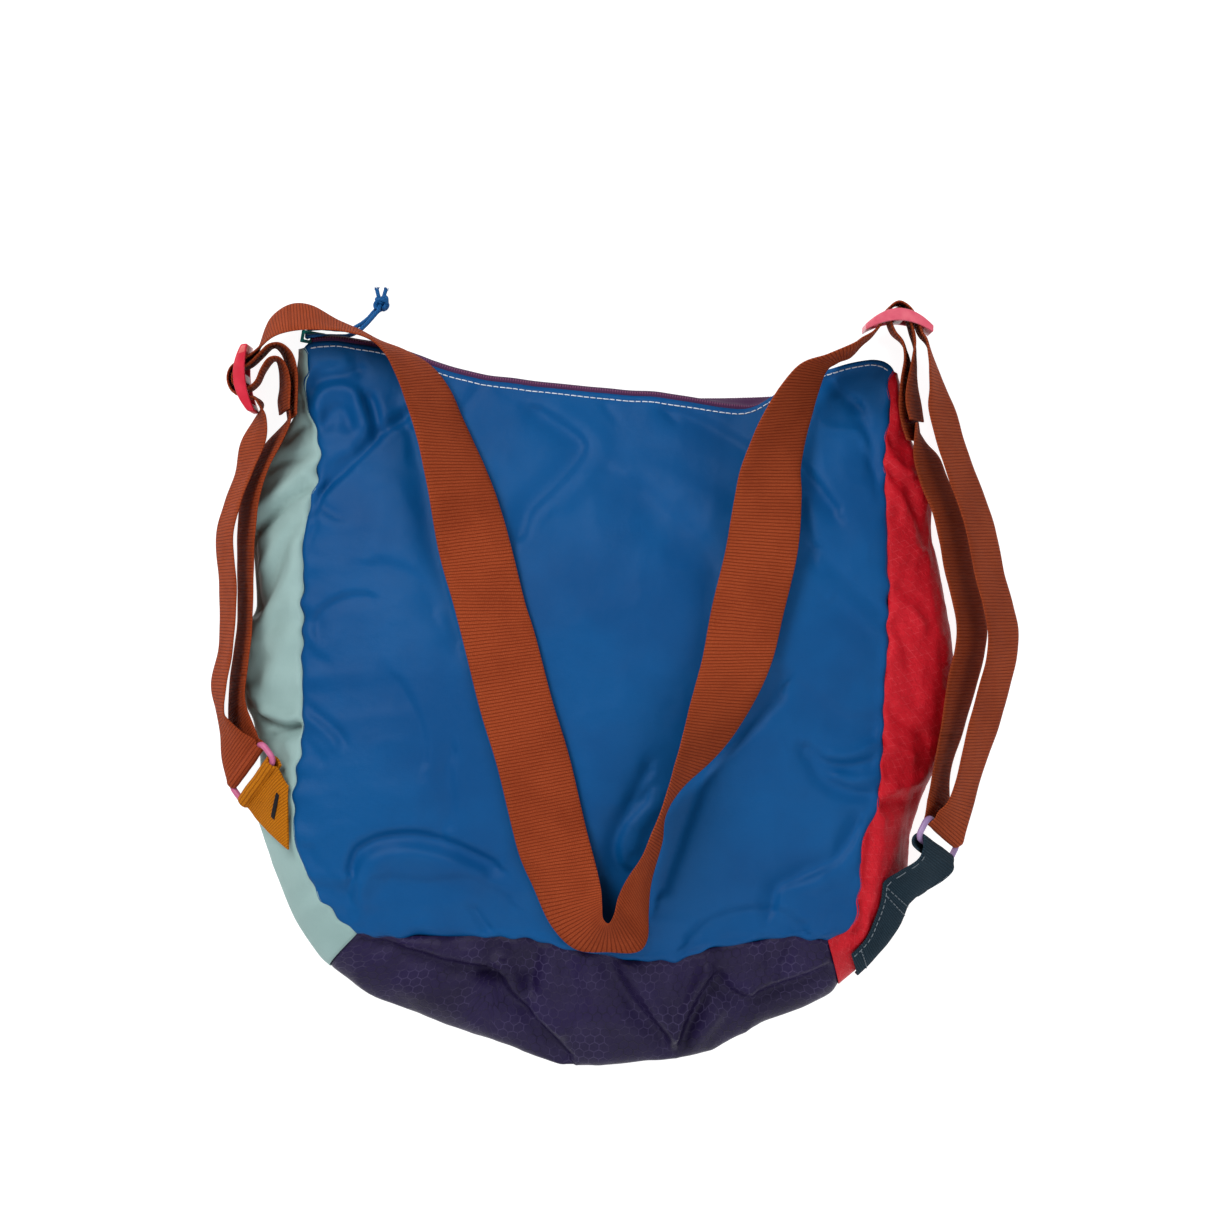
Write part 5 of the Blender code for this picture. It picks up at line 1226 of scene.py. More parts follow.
def grid_uv(g, ox=0.0, oy=0.0):
    """Texture coordinates: distance along the rows and columns, in mm."""
    nu, nv = g.shape[:2]
    mi, mj = nv // 2, nu // 2
    du = np.r_[0.0, np.cumsum(np.linalg.norm(np.diff(g[:, mi], axis=0), axis=1))]
    dv = np.cumsum(np.linalg.norm(np.diff(g, axis=1, prepend=g[:, :1]), axis=2), axis=1)
    uv = np.zeros((nu, nv, 2))
    uv[:, :, 0] = du[:, None] + ox
    uv[:, :, 1] = dv + oy
    return uv


def plan_uv(g):
    """Texture coordinates from the plan position, for the near-flat front and back."""
    return g[:, :, :2] + 300.0


def flat_size(g):
    du = np.linalg.norm(np.diff(g, axis=0), axis=2).sum(axis=0)
    dv = np.linalg.norm(np.diff(g, axis=1), axis=2).sum(axis=1)
    a, b = g[1:, :-1] - g[:-1, :-1], g[:-1, 1:] - g[:-1, :-1]
    return float(du.max()), float(dv.max()), float(np.linalg.norm(np.cross(a, b), axis=2).sum())


# back panel
back_left = smooth_border([(-165, 179, BACK_Z), (-163, 160, 2.0), (-163.5, 145, 0.1), (-170, 110, 0.1), (-176, 60, 0.1),
                           (-178, 0, 0.1), (-172, -60, 0.1), (-158, -110, 0.1), (-141, -146, 0.1)], NS, 4)
back_right = smooth_border([(149.5, 165.5, BACK_Z), (149, 150, 2.0), (149, 138, 0.1), (152, 100, 0.1), (158, 50, 0.1),
                            (162, 0, 0.1), (152, -60, 0.1), (145, -110, 0.1), (119, -154, 0.1)], NS, 4)
back_bot = smooth_border([(-141, -146, 0.1), (-88, -168, 0.1), (-30, -186, 0.1), (20, -187, 0.1), (75, -172, 0.1), (119, -154, 0.1)], NU, 4)
back_top = top_edge.copy()
back_top[:, 1] -= 3.0
back_top[:, 2] = BACK_Z
back_top[0], back_top[-1] = back_left[0], back_right[0]
for k in range(1, 10):
    f = k / 10.0
    back_top[k] = back_top[0] * (1 - f) + back_top[10] * f
    back_top[-1 - k] = back_top[-1] * (1 - f) + back_top[-11] * f
back = coons(back_top, back_bot, back_left, back_right)
rise = np.clip(1.0 - np.linspace(0, 1, NS + 1) / 0.13, 0.0, 1.0)
back[:, :, 2] = BACK_Z * rise[None, :] ** 1.2 + 0.12
bx, by = back[:, :, 0], back[:, :, 1]
crk = 2.6 * np.clip(ridged(bx, by, 48, 12.0) - 0.80, 0, 1) * 5 * 0.5 + 1.2 * np.clip(ridged(bx, by, 26, 17.0) - 0.84, 0, 1) * 6 * 0.5
back[:, :, 2] += np.clip(crk, 0, 3.0) * edge_fade(back, 16.0)
back_left[:, 2] = back[0, :, 2]
back_right[:, 2] = back[-1, :, 2]
back_bot[:, 2] = back[:, -1, 2]


def belly(front_curve, mid_curve, back_curve, nv=NV):
    ctrl = 2 * mid_curve - 0.5 * (front_curve + back_curve)
    t = np.linspace(0, 1, nv + 1)[None, :, None]
    return ((1 - t) ** 2 * front_curve[:, None, :] + 2 * t * (1 - t) * ctrl[:, None, :]
            + t ** 2 * back_curve[:, None, :])


left_mid = smooth_border([(-170.0, 180.2, 17), (-171.5, 166, 17), (-172.2, 152, 17), (-175, 141, BZ), (-181, 131, BZ), (-187.5, 121, BZ),
                          (-194.5, 106, BZ), (-197.5, 93, BZ), (-198.1, 80, BZ), (-194.8, 45, BZ), (-199, 28, BZ),
                          (-203.4, 10, BZ), (-200.8, -8, BZ), (-195, -21, BZ), (-191, -42, 9), (-193, -62, 6), (-193, -74, 6),
                          (-184, -99, 9), (-172.8, -126, 12), (-160, -146, BZ), (-153.5, -152.2, BZ)], NS)
right_mid = smooth_border([(153.4, 166.6, 17), (154.5, 156, 17), (156, 145, 17), (160.5, 133, BZ), (166, 122, BZ),
                           (170.5, 110, BZ), (172, 98, BZ), (171.5, 81, BZ), (176, 60, BZ), (181.5, 30, BZ), (183.6, 0, BZ),
                           (182.5, -20, BZ), (175, -43, BZ), (166, -62, 12), (159, -90, 12), (158, -114, BZ),
                           (150, -133, BZ), (135, -151, BZ), (121.8, -161.9, BZ)], NS)
bottom_mid = smooth_border([(-153.5, -152.2, BZ), (-132.5, -167.2, BZ), (-110, -174.6, BZ), (-89, -181.8, BZ), (-59.4, -192, BZ),
                            (-40, -200.4, BZ), (-27.1, -204.4, BZ), (-6, -204.2, BZ), (16.4, -202.2, BZ), (34.1, -201.1, BZ), (58.3, -193.1, BZ), (84.1, -180.2, BZ),
                            (109.9, -169.9, BZ), (121.8, -161.9, BZ)], NU)
left_side = belly(left_seam, left_mid, back_left)
right_side = belly(right_seam, right_mid, back_right)
bottom = belly(bot_edge, bottom_mid, back_bot)


def plan_field(g, feats):
    q = (g[:, :, 0], g[:, :, 1])
    d = np.zeros(g.shape[:2])
    for pts, w, amp, bk in feats:
        d += stroke(q, line(pts), w, amp * 1.35, bk)
    return d


def displace(g, towards, amount):
    return g + grid_normals(g, towards) * amount[:, :, None]


vfade = np.linspace(0, 1, NV + 1)[None, :]
under = np.clip((0.72 - vfade) / 0.2, 0, 1)
ML = [
    ([(-158.9, 106.4), (-168.5, 103.2), (-177.1, 97.3), (-187.9, 87.0), (-197.0, 77.9)], 2.6, -4.2, 4.6),
    ([(-165.3, 112.8), (-173.9, 105.3), (-185.7, 96.7), (-195.4, 87.0)], 5.5, 3.0, 5.5),
    ([(-162.1, 96.2), (-170.7, 88.1), (-180.4, 74.1), (-189.0, 63.4)], 4.0, 1.8, 4.0),
    ([(-168.5, 88.1), (-177.1, 74.7), (-185.7, 50.5), (-192.2, 38.7)], 2.8, -2.4, 4.4),
    ([(-168.5, 73.1), (-173.9, 55.9), (-189.0, 33.3), (-194.3, 23.6)], 4.6, 1.8, 4.6),
    ([(-197.0, 74.7), (-195.4, 58.5), (-195.4, 42.4)], 4.0, -3.2, 5.0),
    ([(-170.7, 45.1), (-176.1, 23.6), (-184.7, 2.1)], 6.0, 1.2, 6.0),
    ([(-195.4, -3.3), (-192.2, -13.0), (-183.6, -16.2), (-172.8, -19.4), (-168.5, -17.3)], 3.0, 2.6, 3.0),
    ([(-194.3, -10.8), (-189.0, -20.5), (-179.3, -23.7), (-169.6, -22.6)], 2.4, -2.8, 3.2),
    ([(-184.7, -29.1), (-178.2, -26.9), (-170.7, -22.6), (-165.3, -15.1)], 2.4, -2.6, 4.0),
    ([(-189.0, 12.8), (-192.2, 4.2), (-198.6, -8.7)], 4.0, -1.6, 5.0),
    ([(-175.0, -31.2), (-170.7, -40.9), (-170.7, -57.0)], 4.0, 1.4, 4.0),
    ([(-165.3, 123.1), (-169.6, 120.4), (-179.3, 119.3), (-186.8, 115.0)], 2.4, -1.4, 3.4),
    ([(-168.5, 152.6), (-165.3, 144.0), (-162.1, 135.4)], 2.0, -1.2, 2.6),
    ([(-162.1, -94.7), (-168.5, -105.4), (-165.3, -116.2)], 6.0, 0.9, 6.0),
    ([(-163.2, 139.7), (-170.7, 136.5), (-177.1, 131.1)], 2.0, -1.4, 3.0),
]
lx, ly = left_side[:, :, 0], left_side[:, :, 1]
dl = plan_field(left_side, ML) * under
dl += 0.55 * noise2(lx + 40 * vfade, ly, 26, 4) + 0.8 * (ridged(lx + 60 * vfade, ly, 22, 6) - 0.6)
dl += np.exp(-vfade * 5.0) * (0.8 * np.sin(ly / 3.6 + 1.2 * np.sin(ly / 15)) * (0.5 + 0.5 * np.sin(ly / 21)))
keep_l = np.clip((ly + 104.0) / 10.0, 0.25, 1.0)
left_side = displace(left_side, (-1, 0, 0.4), dl * edge_fade(left_side, 6.0) * keep_l)
MR = [
    ([(145.4, 122.5), (149.7, 120.4), (155.1, 116.1), (160.5, 112.8)], 2.2, 1.6, 2.2),
    ([(146.5, 115.0), (151.9, 111.8), (159.4, 106.4), (163.7, 95.6)], 2.6, -1.9, 3.6),
    ([(148.6, 106.4), (156.2, 97.8), (162.6, 82.7), (165.8, 70.9)], 3.2, 1.3, 3.2),
    ([(158.3, 101.0), (162.6, 90.3), (166.9, 74.7)], 3.0, -1.4, 4.0),
    ([(147.6, 50.5), (155.1, 51.6), (162.6, 48.3)], 2.2, -1.6, 3.2),
    ([(148.6, 43.0), (157.2, 41.9), (166.9, 31.1)], 2.6, 1.4, 2.6),
    ([(151.9, 31.7), (157.2, 18.2), (160.5, 2.1), (162.6, -10.8)], 3.0, -1.0, 4.0),
    ([(146.5, -8.7), (152.9, -17.3), (162.6, -23.7), (168.0, -29.1)], 2.8, -1.8, 4.0),
    ([(143.3, -30.2), (151.9, -34.5), (159.4, -38.8)], 3.4, 1.8, 3.4),
    ([(137.9, -62.4), (148.6, -57.0), (160.5, -53.8), (165.8, -49.5)], 3.4, 1.8, 3.4),
    ([(136.8, -68.9), (145.4, -64.6), (157.2, -63.5)], 2.6, -1.8, 3.6),
    ([(139.0, -73.2), (136.8, -89.3), (133.6, -110.8), (132.5, -132.3)], 2.2, -1.8, 4.0),
    ([(143.3, -73.2), (143.3, -94.7), (139.0, -116.2), (135.7, -135.0)], 3.2, 1.5, 3.2),
    ([(148.6, 168.8), (151.9, 152.6), (152.9, 136.5)], 2.6, 1.2, 3.4),
    ([(146.5, 133.3), (151.9, 129.0), (157.2, 126.8)], 2.0, -1.6, 3.0),
    ([(116.4, -139.8), (125.0, -135.5), (132.5, -132.3)], 2.4, -1.4, 3.4),
]
rx_, ry_ = right_side[:, :, 0], right_side[:, :, 1]
dr = plan_field(right_side, MR) * under
dr += 0.45 * noise2(rx_ + 40 * vfade, ry_, 20, 14) + 1.1 * (ridged(rx_ + 60 * vfade, ry_, 15, 16) - 0.62) + 0.55 * (ridged(rx_ + 60 * vfade, ry_, 7, 19) - 0.6)
dr += np.exp(-vfade * 5.0) * (0.9 * np.sin(ry_ / 3.1 + 1.2 * np.sin(ry_ / 13)) * (0.5 + 0.5 * np.sin(ry_ / 19)))
sv = np.linspace(0, 1, NS + 1)[:, None]
keep_r = 1.0 - 0.85 * np.clip((sv - 0.79) / 0.04, 0, 1) * np.clip((vfade - 0.10) / 0.06, 0, 1) * np.clip((0.76 - vfade) / 0.06, 0, 1)
base_right = right_side.copy()
right_side = displace(right_side, (1, 0, 0.4), dr * edge_fade(right_side, 5.0) * keep_r)
MB = [
    ([(-132.0, -135.5), (-114.8, -143.1), (-95.4, -149.5), (-77.1, -153.8), (-64.2, -156.0)], 3.4, -5.0, 6.0),
    ([(-127.7, -132.3), (-104.0, -139.8), (-77.1, -146.3), (-61.0, -149.5), (-50.3, -154.9)], 5.0, 2.6, 5.0),
    ([(-65.3, -157.0), (-56.7, -167.8), (-47.0, -178.5), (-35.2, -191.4), (-24.5, -203.3)], 2.6, -4.6, 7.0),
    ([(-61.0, -150.6), (-50.3, -164.6), (-39.5, -177.5), (-28.8, -187.1)], 4.0, 3.2, 4.0),
    ([(-68.5, -136.6), (-57.8, -145.2), (-49.2, -154.9), (-44.9, -164.6)], 3.4, -2.6, 5.0),
    ([(-41.7, -147.4), (-44.9, -164.6), (-47.0, -177.5)], 3.2, -1.8, 4.4),
    ([(-25.5, -143.1), (-21.2, -159.2), (-15.9, -169.9)], 4.0, -1.6, 6.0),
    ([(-5.1, -143.1), (2.4, -159.2), (14.2, -177.5), (29.3, -193.6)], 3.6, -4.2, 6.0),
    ([(4.6, -143.1), (14.2, -159.2), (25.0, -177.5), (31.4, -189.3)], 4.2, 3.0, 4.2),
    ([(31.4, -194.7), (36.8, -180.7), (43.3, -166.7), (50.3, -153.8)], 2.6, 3.6, 3.4),
    ([(37.9, -193.6), (43.3, -178.5), (49.7, -165.6), (55.1, -160.3)], 4.4, -3.4, 5.0),
    ([(50.3, -153.8), (59.4, -161.3), (73.9, -166.7)], 2.4, 2.0, 2.4),
    ([(55.1, -157.0), (64.8, -167.8), (74.5, -169.9), (94.9, -162.4), (119.6, -151.7)], 3.6, -3.6, 5.0),
    ([(74.5, -164.6), (89.5, -157.0), (105.6, -153.8), (119.6, -148.4)], 4.0, 2.0, 4.0),
    ([(77.7, -140.9), (79.8, -151.7), (87.4, -157.0)], 3.0, 1.6, 3.0),
    ([(97.0, -136.6), (93.8, -146.3), (90.6, -154.9)], 2.4, -1.8, 3.6),
    ([(57.3, -175.3), (48.7, -186.1), (41.1, -195.7)], 4.0, 1.4, 4.0),
    ([(14.2, -186.1), (-7.3, -180.7), (-20.7, -182.8)], 5.0, 1.4, 5.0),
    ([(-114.8, -161.9), (-87.9, -173.2), (-61.0, -188.2)], 7.0, 1.2, 7.0),
]
bxx, byy = bottom[:, :, 0], bottom[:, :, 1]
db = plan_field(bottom, MB) * under
db += 0.6 * noise2(bxx, byy + 40 * vfade, 24, 24) + 1.1 * (ridged(bxx, byy + 60 * vfade, 21, 26) - 0.62) + 0.35 * (ridged(bxx, byy + 60 * vfade, 9, 29) - 0.6)
db += np.exp(-vfade * 5.0) * (0.9 * np.sin(bxx / 3.7 + 1.2 * np.sin(bxx / 17)) * (0.5 + 0.5 * np.sin(bxx / 23)))
bottom = displace(bottom, (0, -1, 0.4), db * edge_fade(bottom, 6.0))
bottom[:, :, 2] = np.maximum(bottom[:, :, 2], 0.1)
left_side[:, :, 2] = np.maximum(left_side[:, :, 2], 0.1)
right_side[:, :, 2] = np.maximum(right_side[:, :, 2], 0.1)


n_front = grid_normals(front, (0, 0, 1))
n_back = grid_normals(back, (0, 0, -1))
n_left = grid_normals(left_side, (-1, 0, 0.2))
n_right = grid_normals(right_side, (1, 0, 0.2))
n_bottom = grid_normals(bottom, (0, -1, 0.2))
# ------------------------------------------------------------------ small hardware
def grid_at(g, s_val, v_val):
    fs, fv = s_val * (g.shape[0] - 1), v_val * (g.shape[1] - 1)
    i, j = min(int(fs), g.shape[0] - 2), min(int(fv), g.shape[1] - 2)
    a, b = fs - i, fv - j
    return ((1 - a) * (1 - b) * g[i, j] + a * (1 - b) * g[i + 1, j]
            + (1 - a) * b * g[i, j + 1] + a * b * g[i + 1, j + 1])


def cell_mesh(name, cuts, filled, place, mat, bevel, segs=3, mat2=None, second=None):
    """Block solid with rounded edges."""
    xs, ys, zs = cuts
    nx, ny, nz = len(xs) - 1, len(ys) - 1, len(zs) - 1
    full = lambda i, j, k: 0 <= i < nx and 0 <= j < ny and 0 <= k < nz and filled(i, j, k)
    index, verts, faces, slots = {}, [], [], []

    def vid(i, j, k):
        if (i, j, k) not in index:
            index[(i, j, k)] = len(verts)
            verts.append(place(xs[i], ys[j], zs[k]))
        return index[(i, j, k)]

    for i in range(nx):
        for j in range(ny):
            for k in range(nz):
                if not full(i, j, k):
                    continue
                f0 = len(faces)
                if not full(i - 1, j, k):
                    faces.append((vid(i, j, k), vid(i, j, k + 1), vid(i, j + 1, k + 1), vid(i, j + 1, k)))
                if not full(i + 1, j, k):
                    faces.append((vid(i + 1, j, k), vid(i + 1, j + 1, k), vid(i + 1, j + 1, k + 1), vid(i + 1, j, k + 1)))
                if not full(i, j - 1, k):
                    faces.append((vid(i, j, k), vid(i + 1, j, k), vid(i + 1, j, k + 1), vid(i, j, k + 1)))
                if not full(i, j + 1, k):
                    faces.append((vid(i, j + 1, k), vid(i, j + 1, k + 1), vid(i + 1, j + 1, k + 1), vid(i + 1, j + 1, k)))
                if not full(i, j, k - 1):
                    faces.append((vid(i, j, k), vid(i, j + 1, k), vid(i + 1, j + 1, k), vid(i + 1, j, k)))
                if not full(i, j, k + 1):
                    faces.append((vid(i, j, k + 1), vid(i + 1, j, k + 1), vid(i + 1, j + 1, k + 1), vid(i, j + 1, k + 1)))
                slots += [1 if second and second(i, j, k) else 0] * (len(faces) - f0)
    ob = mesh_object(name, verts, faces, mat, None, smooth=False)
    if mat2 is not None:
        ob.data.materials.append(mat2)
        for p, s in zip(ob.data.polygons, slots):
            p.material_index = s
    bm = bmesh.new()
    bm.from_mesh(ob.data)
    bmesh.ops.recalc_face_normals(bm, faces=bm.faces)
    edges = [e for e in bm.edges if len(e.link_faces) == 2 and e.calc_face_angle(0.0) > math.radians(50)]
    bmesh.ops.bevel(bm, geom=edges, offset=bevel * 0.001, segments=segs, profile=0.5, affect="EDGES", clamp_overlap=True)
    bm.to_mesh(ob.data)
    bm.free()
    ob.data.shade_smooth()
    return ob


# slider
sx = [-7.6, -5.8, -2.6, -1.6, 0.8, 5.2]
sy = [-3.4, -1.6, 1.6, 3.4]
sz = [-4.6, -3.2, 3.2, 4.6]


def slider_cells(i, j, k):
    if k == 2:
        return not (i == 1 and j == 1)
    if k == 1:
        return i == 3 and j == 1
    return i >= 2


slider_ob = cell_mesh("slider_body", (sx, sy, sz), slider_cells, slider_place, MAT["slider"], 0.45)
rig.ride(slider_ob, "slider")
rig.replaces(slider_ob, "zip_slider")
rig.slot(slider_ob, "teal_slider")


def adjuster(name, node, body, slot, centre, b_dir, c_dir, bow, mat, mat2=None, second=None):
    b_dir, c_dir = unit(np.array(b_dir, float)), unit(np.array(c_dir, float))
    ha, hs, t = FRAME_A / 2, SLOT_A / 2, FRAME_T
    a_cuts = [-ha, -hs, hs, ha]
    b_main = [-18.0, -13.6, -10.8, -6.4, -2.2, 2.2, 6.4, 10.8, 13.6, 18.0]
    b_cuts, src = [], []
    for q in range(len(b_main) - 1):
        m = 2
        for r in range(m):
            b_cuts.append(b_main[q] + (b_main[q + 1] - b_main[q]) * r / m)
            src.append(q)
    b_cuts.append(b_main[-1])
    c_cuts = [-t / 2, t / 2]

    def cells(i, j, k):
        return i != 1 or src[j] in (0, 4, 8)

    def place(a, b, c):
        rail = (0.3 + 1.5 * (1.0 - (b / 18.0) ** 2)) * (1 if abs(a) > hs - 0.01 else 0)
        off = c + math.copysign(rail, c) + bow * (1.0 - (b / 18.0) ** 2)
        return tuple(np.array(centre) + b_dir * b + c_dir * off + np.array((0.0, 0.0, a)))

    ob = cell_mesh(name, (a_cuts, b_cuts, c_cuts), cells, place, mat, 0.85, 3, mat2,
                   (lambda i, j, k: second(src[j], i)) if second else None)
    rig.ride(ob, body)
    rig.replaces(ob, node)
    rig.slot(ob, slot)
    return ob


FRAME_A, SLOT_A, FRAME_T = 46.0, 39.5, 3.0
# the left moulding's top bar takes the paler copy of its red: a painted highlight
adj_l = adjuster("adjuster_left_moulding", "left_adjuster", "adjuster_left", "red_plastic", (-195.4, 163.9, 26.0), (0.10, -0.995, 0), (-0.995, -0.10, 0), 4.6,
                 MAT["red_plastic"], MAT["red_pale"], lambda q, i: q in (0,))
adj_r = adjuster("adjuster_right_moulding", "right_adjuster", "adjuster_right", "pink_plastic", (152.6, 190.0, 31.0), (1.0, -0.03, 0), (0.03, 1.0, 0), 7.4, MAT["pink_plastic"])


def ring(name, node, body, slot, centre, long_dir, short_hint, mat):
    l, sh, n = ring_frame(long_dir, short_hint)
    ha, hb, r = 41.6 / 2, 12.0 / 2, 3.6
    pts = []
    for cx, cy, a0 in ((ha - r, hb - r, 0), (-(ha - r), hb - r, 90), (-(ha - r), -(hb - r), 180), (ha - r, -(hb - r), 270)):
        for k in range(11):
            a = math.radians(a0 + 9 * k)
            pts.append((cx + r * math.cos(a), cy + r * math.sin(a)))
    pts.append(pts[0])
    loop = arc_sample([np.array(centre) + l * p[0] + sh * p[1] for p in pts], 140)
    c0 = np.array(centre)

    def wobble(a, s):
        return 1.0 + 0.02 * math.sin(s / 3.0)

    v, f, u = tube(loop, 1.7, 18, False, wobble)
    ob = join_parts(name, [(v, f, u)], mat)
    bm = bmesh.new()
    bm.from_mesh(ob.data)
    bmesh.ops.remove_doubles(bm, verts=bm.verts, dist=0.00012)
    bmesh.ops.recalc_face_normals(bm, faces=bm.faces)
    bm.to_mesh(ob.data)
    bm.free()
    ob.data.shade_smooth()
    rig.ride(ob, body)
    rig.replaces(ob, node)
    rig.slot(ob, slot)
    return ob


ring_l = ring("ring_left_bar", "left_ring", "ring_left", "magenta_plastic", L_RING, L_LONG, L_SHORT, MAT["magenta_plastic"])
ring_r = ring("ring_right_bar", "right_ring", "ring_right", "lavender_plastic", R_RING, R_LONG, R_SHORT, MAT["lavender_plastic"])

# ------------------------------------------------------------------ anchor tabs
def tab_rows(rows):
    return [(np.array(a, float), np.array(b, float)) for a, b in rows]


l_rows = tab_rows([((-180.2, -44.2, 42), (-197.2, -66.4, 16.4)), ((-178.8, -46.0, 42.6), (-191.6, -72.6, 22.5)),
                   ((-177.4, -48.5, 42.8), (-185.6, -78.6, 30.0)), ((-175.8, -51.5, 42.6), (-179.2, -84.2, 36.5)),
                   ((-174.2, -54.5, 42.0), (-173.6, -88.6, 40.8))])
n_rs = grid_normals(base_right, (1, 0, 0.2))
r_grid = []
for hi, lo in (((165.2, -88.6, 43.5), (182.8, -101.5, 11.0)), ((161.8, -94.5, 42.5), (176.5, -107.0, 10.0))):
    hi, lo = np.array(hi), np.array(lo)
    r_grid.append([hi + (lo - hi) * k / 12 for k in range(13)])
for k in range(7):
    s_v = 0.835 + 0.135 * k / 6
    r_grid.append([grid_at(base_right, s_v, 0.16 + 0.52 * q / 12) + unit(grid_at(n_rs, s_v, 0.16 + 0.52 * q / 12)) * 1.8 for q in range(13)])
l_grid = np.array([[hi + (lo - hi) * k / 12 for k in range(13)] for hi, lo in l_rows])


def refine_rows(g, per):
    return np.stack([catmull(g[:, j], per) for j in range(g.shape[1])], axis=1)


def solid_strip(name, g, towards, mat, thick, slot, node, wave=0.12, extra=()):
    n = grid_normals(g, towards)
    s = np.cumsum(np.linalg.norm(np.diff(g, axis=0, prepend=g[:1]), axis=2), axis=0)
    q = np.linspace(0, 1, g.shape[1])[None, :]
    g = g + n * (wave * np.sin(s / 4.3 + 7 * q) + wave * np.sin(s / 2.1 + 13 * q))[:, :, None]
    outer = g + n * thick
    uv = np.zeros(g.shape[:2] + (2,))
    uv[:, :, 0] = np.cumsum(np.linalg.norm(np.diff(g, axis=1, prepend=g[:, :1]), axis=2), axis=1)
    uv[:, :, 1] = s
    ob = shell(name, outer, n, mat, uv, thick)
    bm = bmesh.new()
    bm.from_mesh(ob.data)
    bmesh.ops.recalc_face_normals(bm, faces=bm.faces)
    edges = [e for e in bm.edges if len(e.link_faces) == 2 and e.calc_face_angle(0.0) > math.radians(55)]
    bmesh.ops.bevel(bm, geom=edges, offset=0.00035, segments=2, profile=0.5, affect="EDGES", clamp_overlap=True)
    bm.to_mesh(ob.data)
    bm.free()
    ob.data.shade_smooth()
    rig.ride(ob, "bag")
    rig.replaces(ob, node)
    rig.slot(ob, slot)
    return ob, outer, n


def tab_with_loop(rows_grid, bar, l, towards, inward):
    """Rows of a tab with its loop round the bar added in front; the loop's far side runs back under it."""
    first = rows_grid[0]
    hi, lo = first[0], first[-1]
    half = (lo - hi) / 2
    mid = (hi + lo) / 2
    st = wrap(bar, l, mid, mid + inward * 2.0, bar - mid, 9)
    out = []
    for s in st[::-1]:
        c = 0.5 * (np.array(s[:3]) + np.array(s[3:]))
        out.append([c - half + 2 * half * k / 12 for k in range(13)])
    back = [p + inward * 2.0 for p in first]
    return np.array([back] + out + [list(r) for r in rows_grid])


lb = L_RING - lS * 6.0
rb = R_RING - rS * 6.0
l_full = refine_rows(tab_with_loop(l_grid, lb, lL, (-0.7, -0.3, 0.6), unit(np.array((0.62, 0.25, -0.5)))), 5)
r_full = refine_rows(tab_with_loop(np.array(r_grid), rb, rL, (0.8, -0.3, 0.4), unit(np.array((-0.75, 0.25, -0.35)))), 5)
for _ in range(24):
    r_full[57:-1] = 0.5 * r_full[57:-1] + 0.25 * (r_full[56:-2] + r_full[58:])
tab_l, tl_outer, tl_n = solid_strip("tab_left_webbing", l_full, (-0.7, -0.3, 0.6), MAT["mustard"], WEB_T, "mustard_webbing", "left_anchor_tab", 0.1)
tab_r, tr_outer, tr_n = solid_strip("tab_right_webbing", r_full, (0.8, -0.3, 0.4), MAT["teal"], WEB_T, "teal_webbing", "right_anchor_tab", 0.06)

# ------------------------------------------------------------------ clear the panels of everything that lies on them
hard_tree = bvh_of(straps + [adj_l, adj_r, ring_l, ring_r])
tab_tree = bvh_of([tab_l, tab_r])


def draw_in(g, n, tree, gap, reach=10.0):
    """Push points of a panel inwards where something would be inside or too close above it."""
    push = np.zeros(g.shape[:2])
    for i in range(g.shape[0]):
        for j in range(g.shape[1]):
            d = Vector(n[i, j])
            start = Vector(m3(g[i, j] - n[i, j] * reach))
            hit = tree.ray_cast(start, d, (reach + gap) * 0.001)
            if hit[0] is not None:
                push[i, j] = max(0.0, reach + gap - hit[3] * 1000.0)
    push = np.minimum(push, 8.0)
    soft = push.copy()
    for _ in range(4):
        s = soft.copy()
        s[1:-1, 1:-1] = 0.25 * (soft[:-2, 1:-1] + soft[2:, 1:-1] + soft[1:-1, :-2] + soft[1:-1, 2:])
        soft = np.maximum(s, push)
    soft[0], soft[-1], soft[:, 0], soft[:, -1] = 0, 0, 0, 0
    return g - n * soft[:, :, None], float(push.max())


for nm in ("left_side", "right_side"):
    g, n = (left_side, n_left) if nm == "left_side" else (right_side, n_right)
    g, most = draw_in(g, n, hard_tree, 0.9)
    print(nm, "drawn in by", round(most, 2), "mm for the webbing")
    g, most = draw_in(g, n, tab_tree, 0.5)
    print(nm, "drawn in by", round(most, 2), "mm for the tab")
    if nm == "left_side":
        left_side = g
    else:
        right_side = g

# seams: cloth turns down into a shallow groove along every joined edge
def seam_drop(g, n, sides, depth=0.8, width=1.7):
    nu, nv = g.shape[:2]
    du = np.cumsum(np.linalg.norm(np.diff(g, axis=0, prepend=g[:1]), axis=2), axis=0)
    dv = np.cumsum(np.linalg.norm(np.diff(g, axis=1, prepend=g[:, :1]), axis=2), axis=1)
    drop = np.zeros((nu, nv))
    for key, d in (("u0", du), ("u1", du[-1:] - du), ("v0", dv), ("v1", dv[:, -1:] - dv)):
        if key in sides:
            drop = np.maximum(drop, np.exp(-(d / width) ** 2))
    return g - n * (depth * drop)[:, :, None]


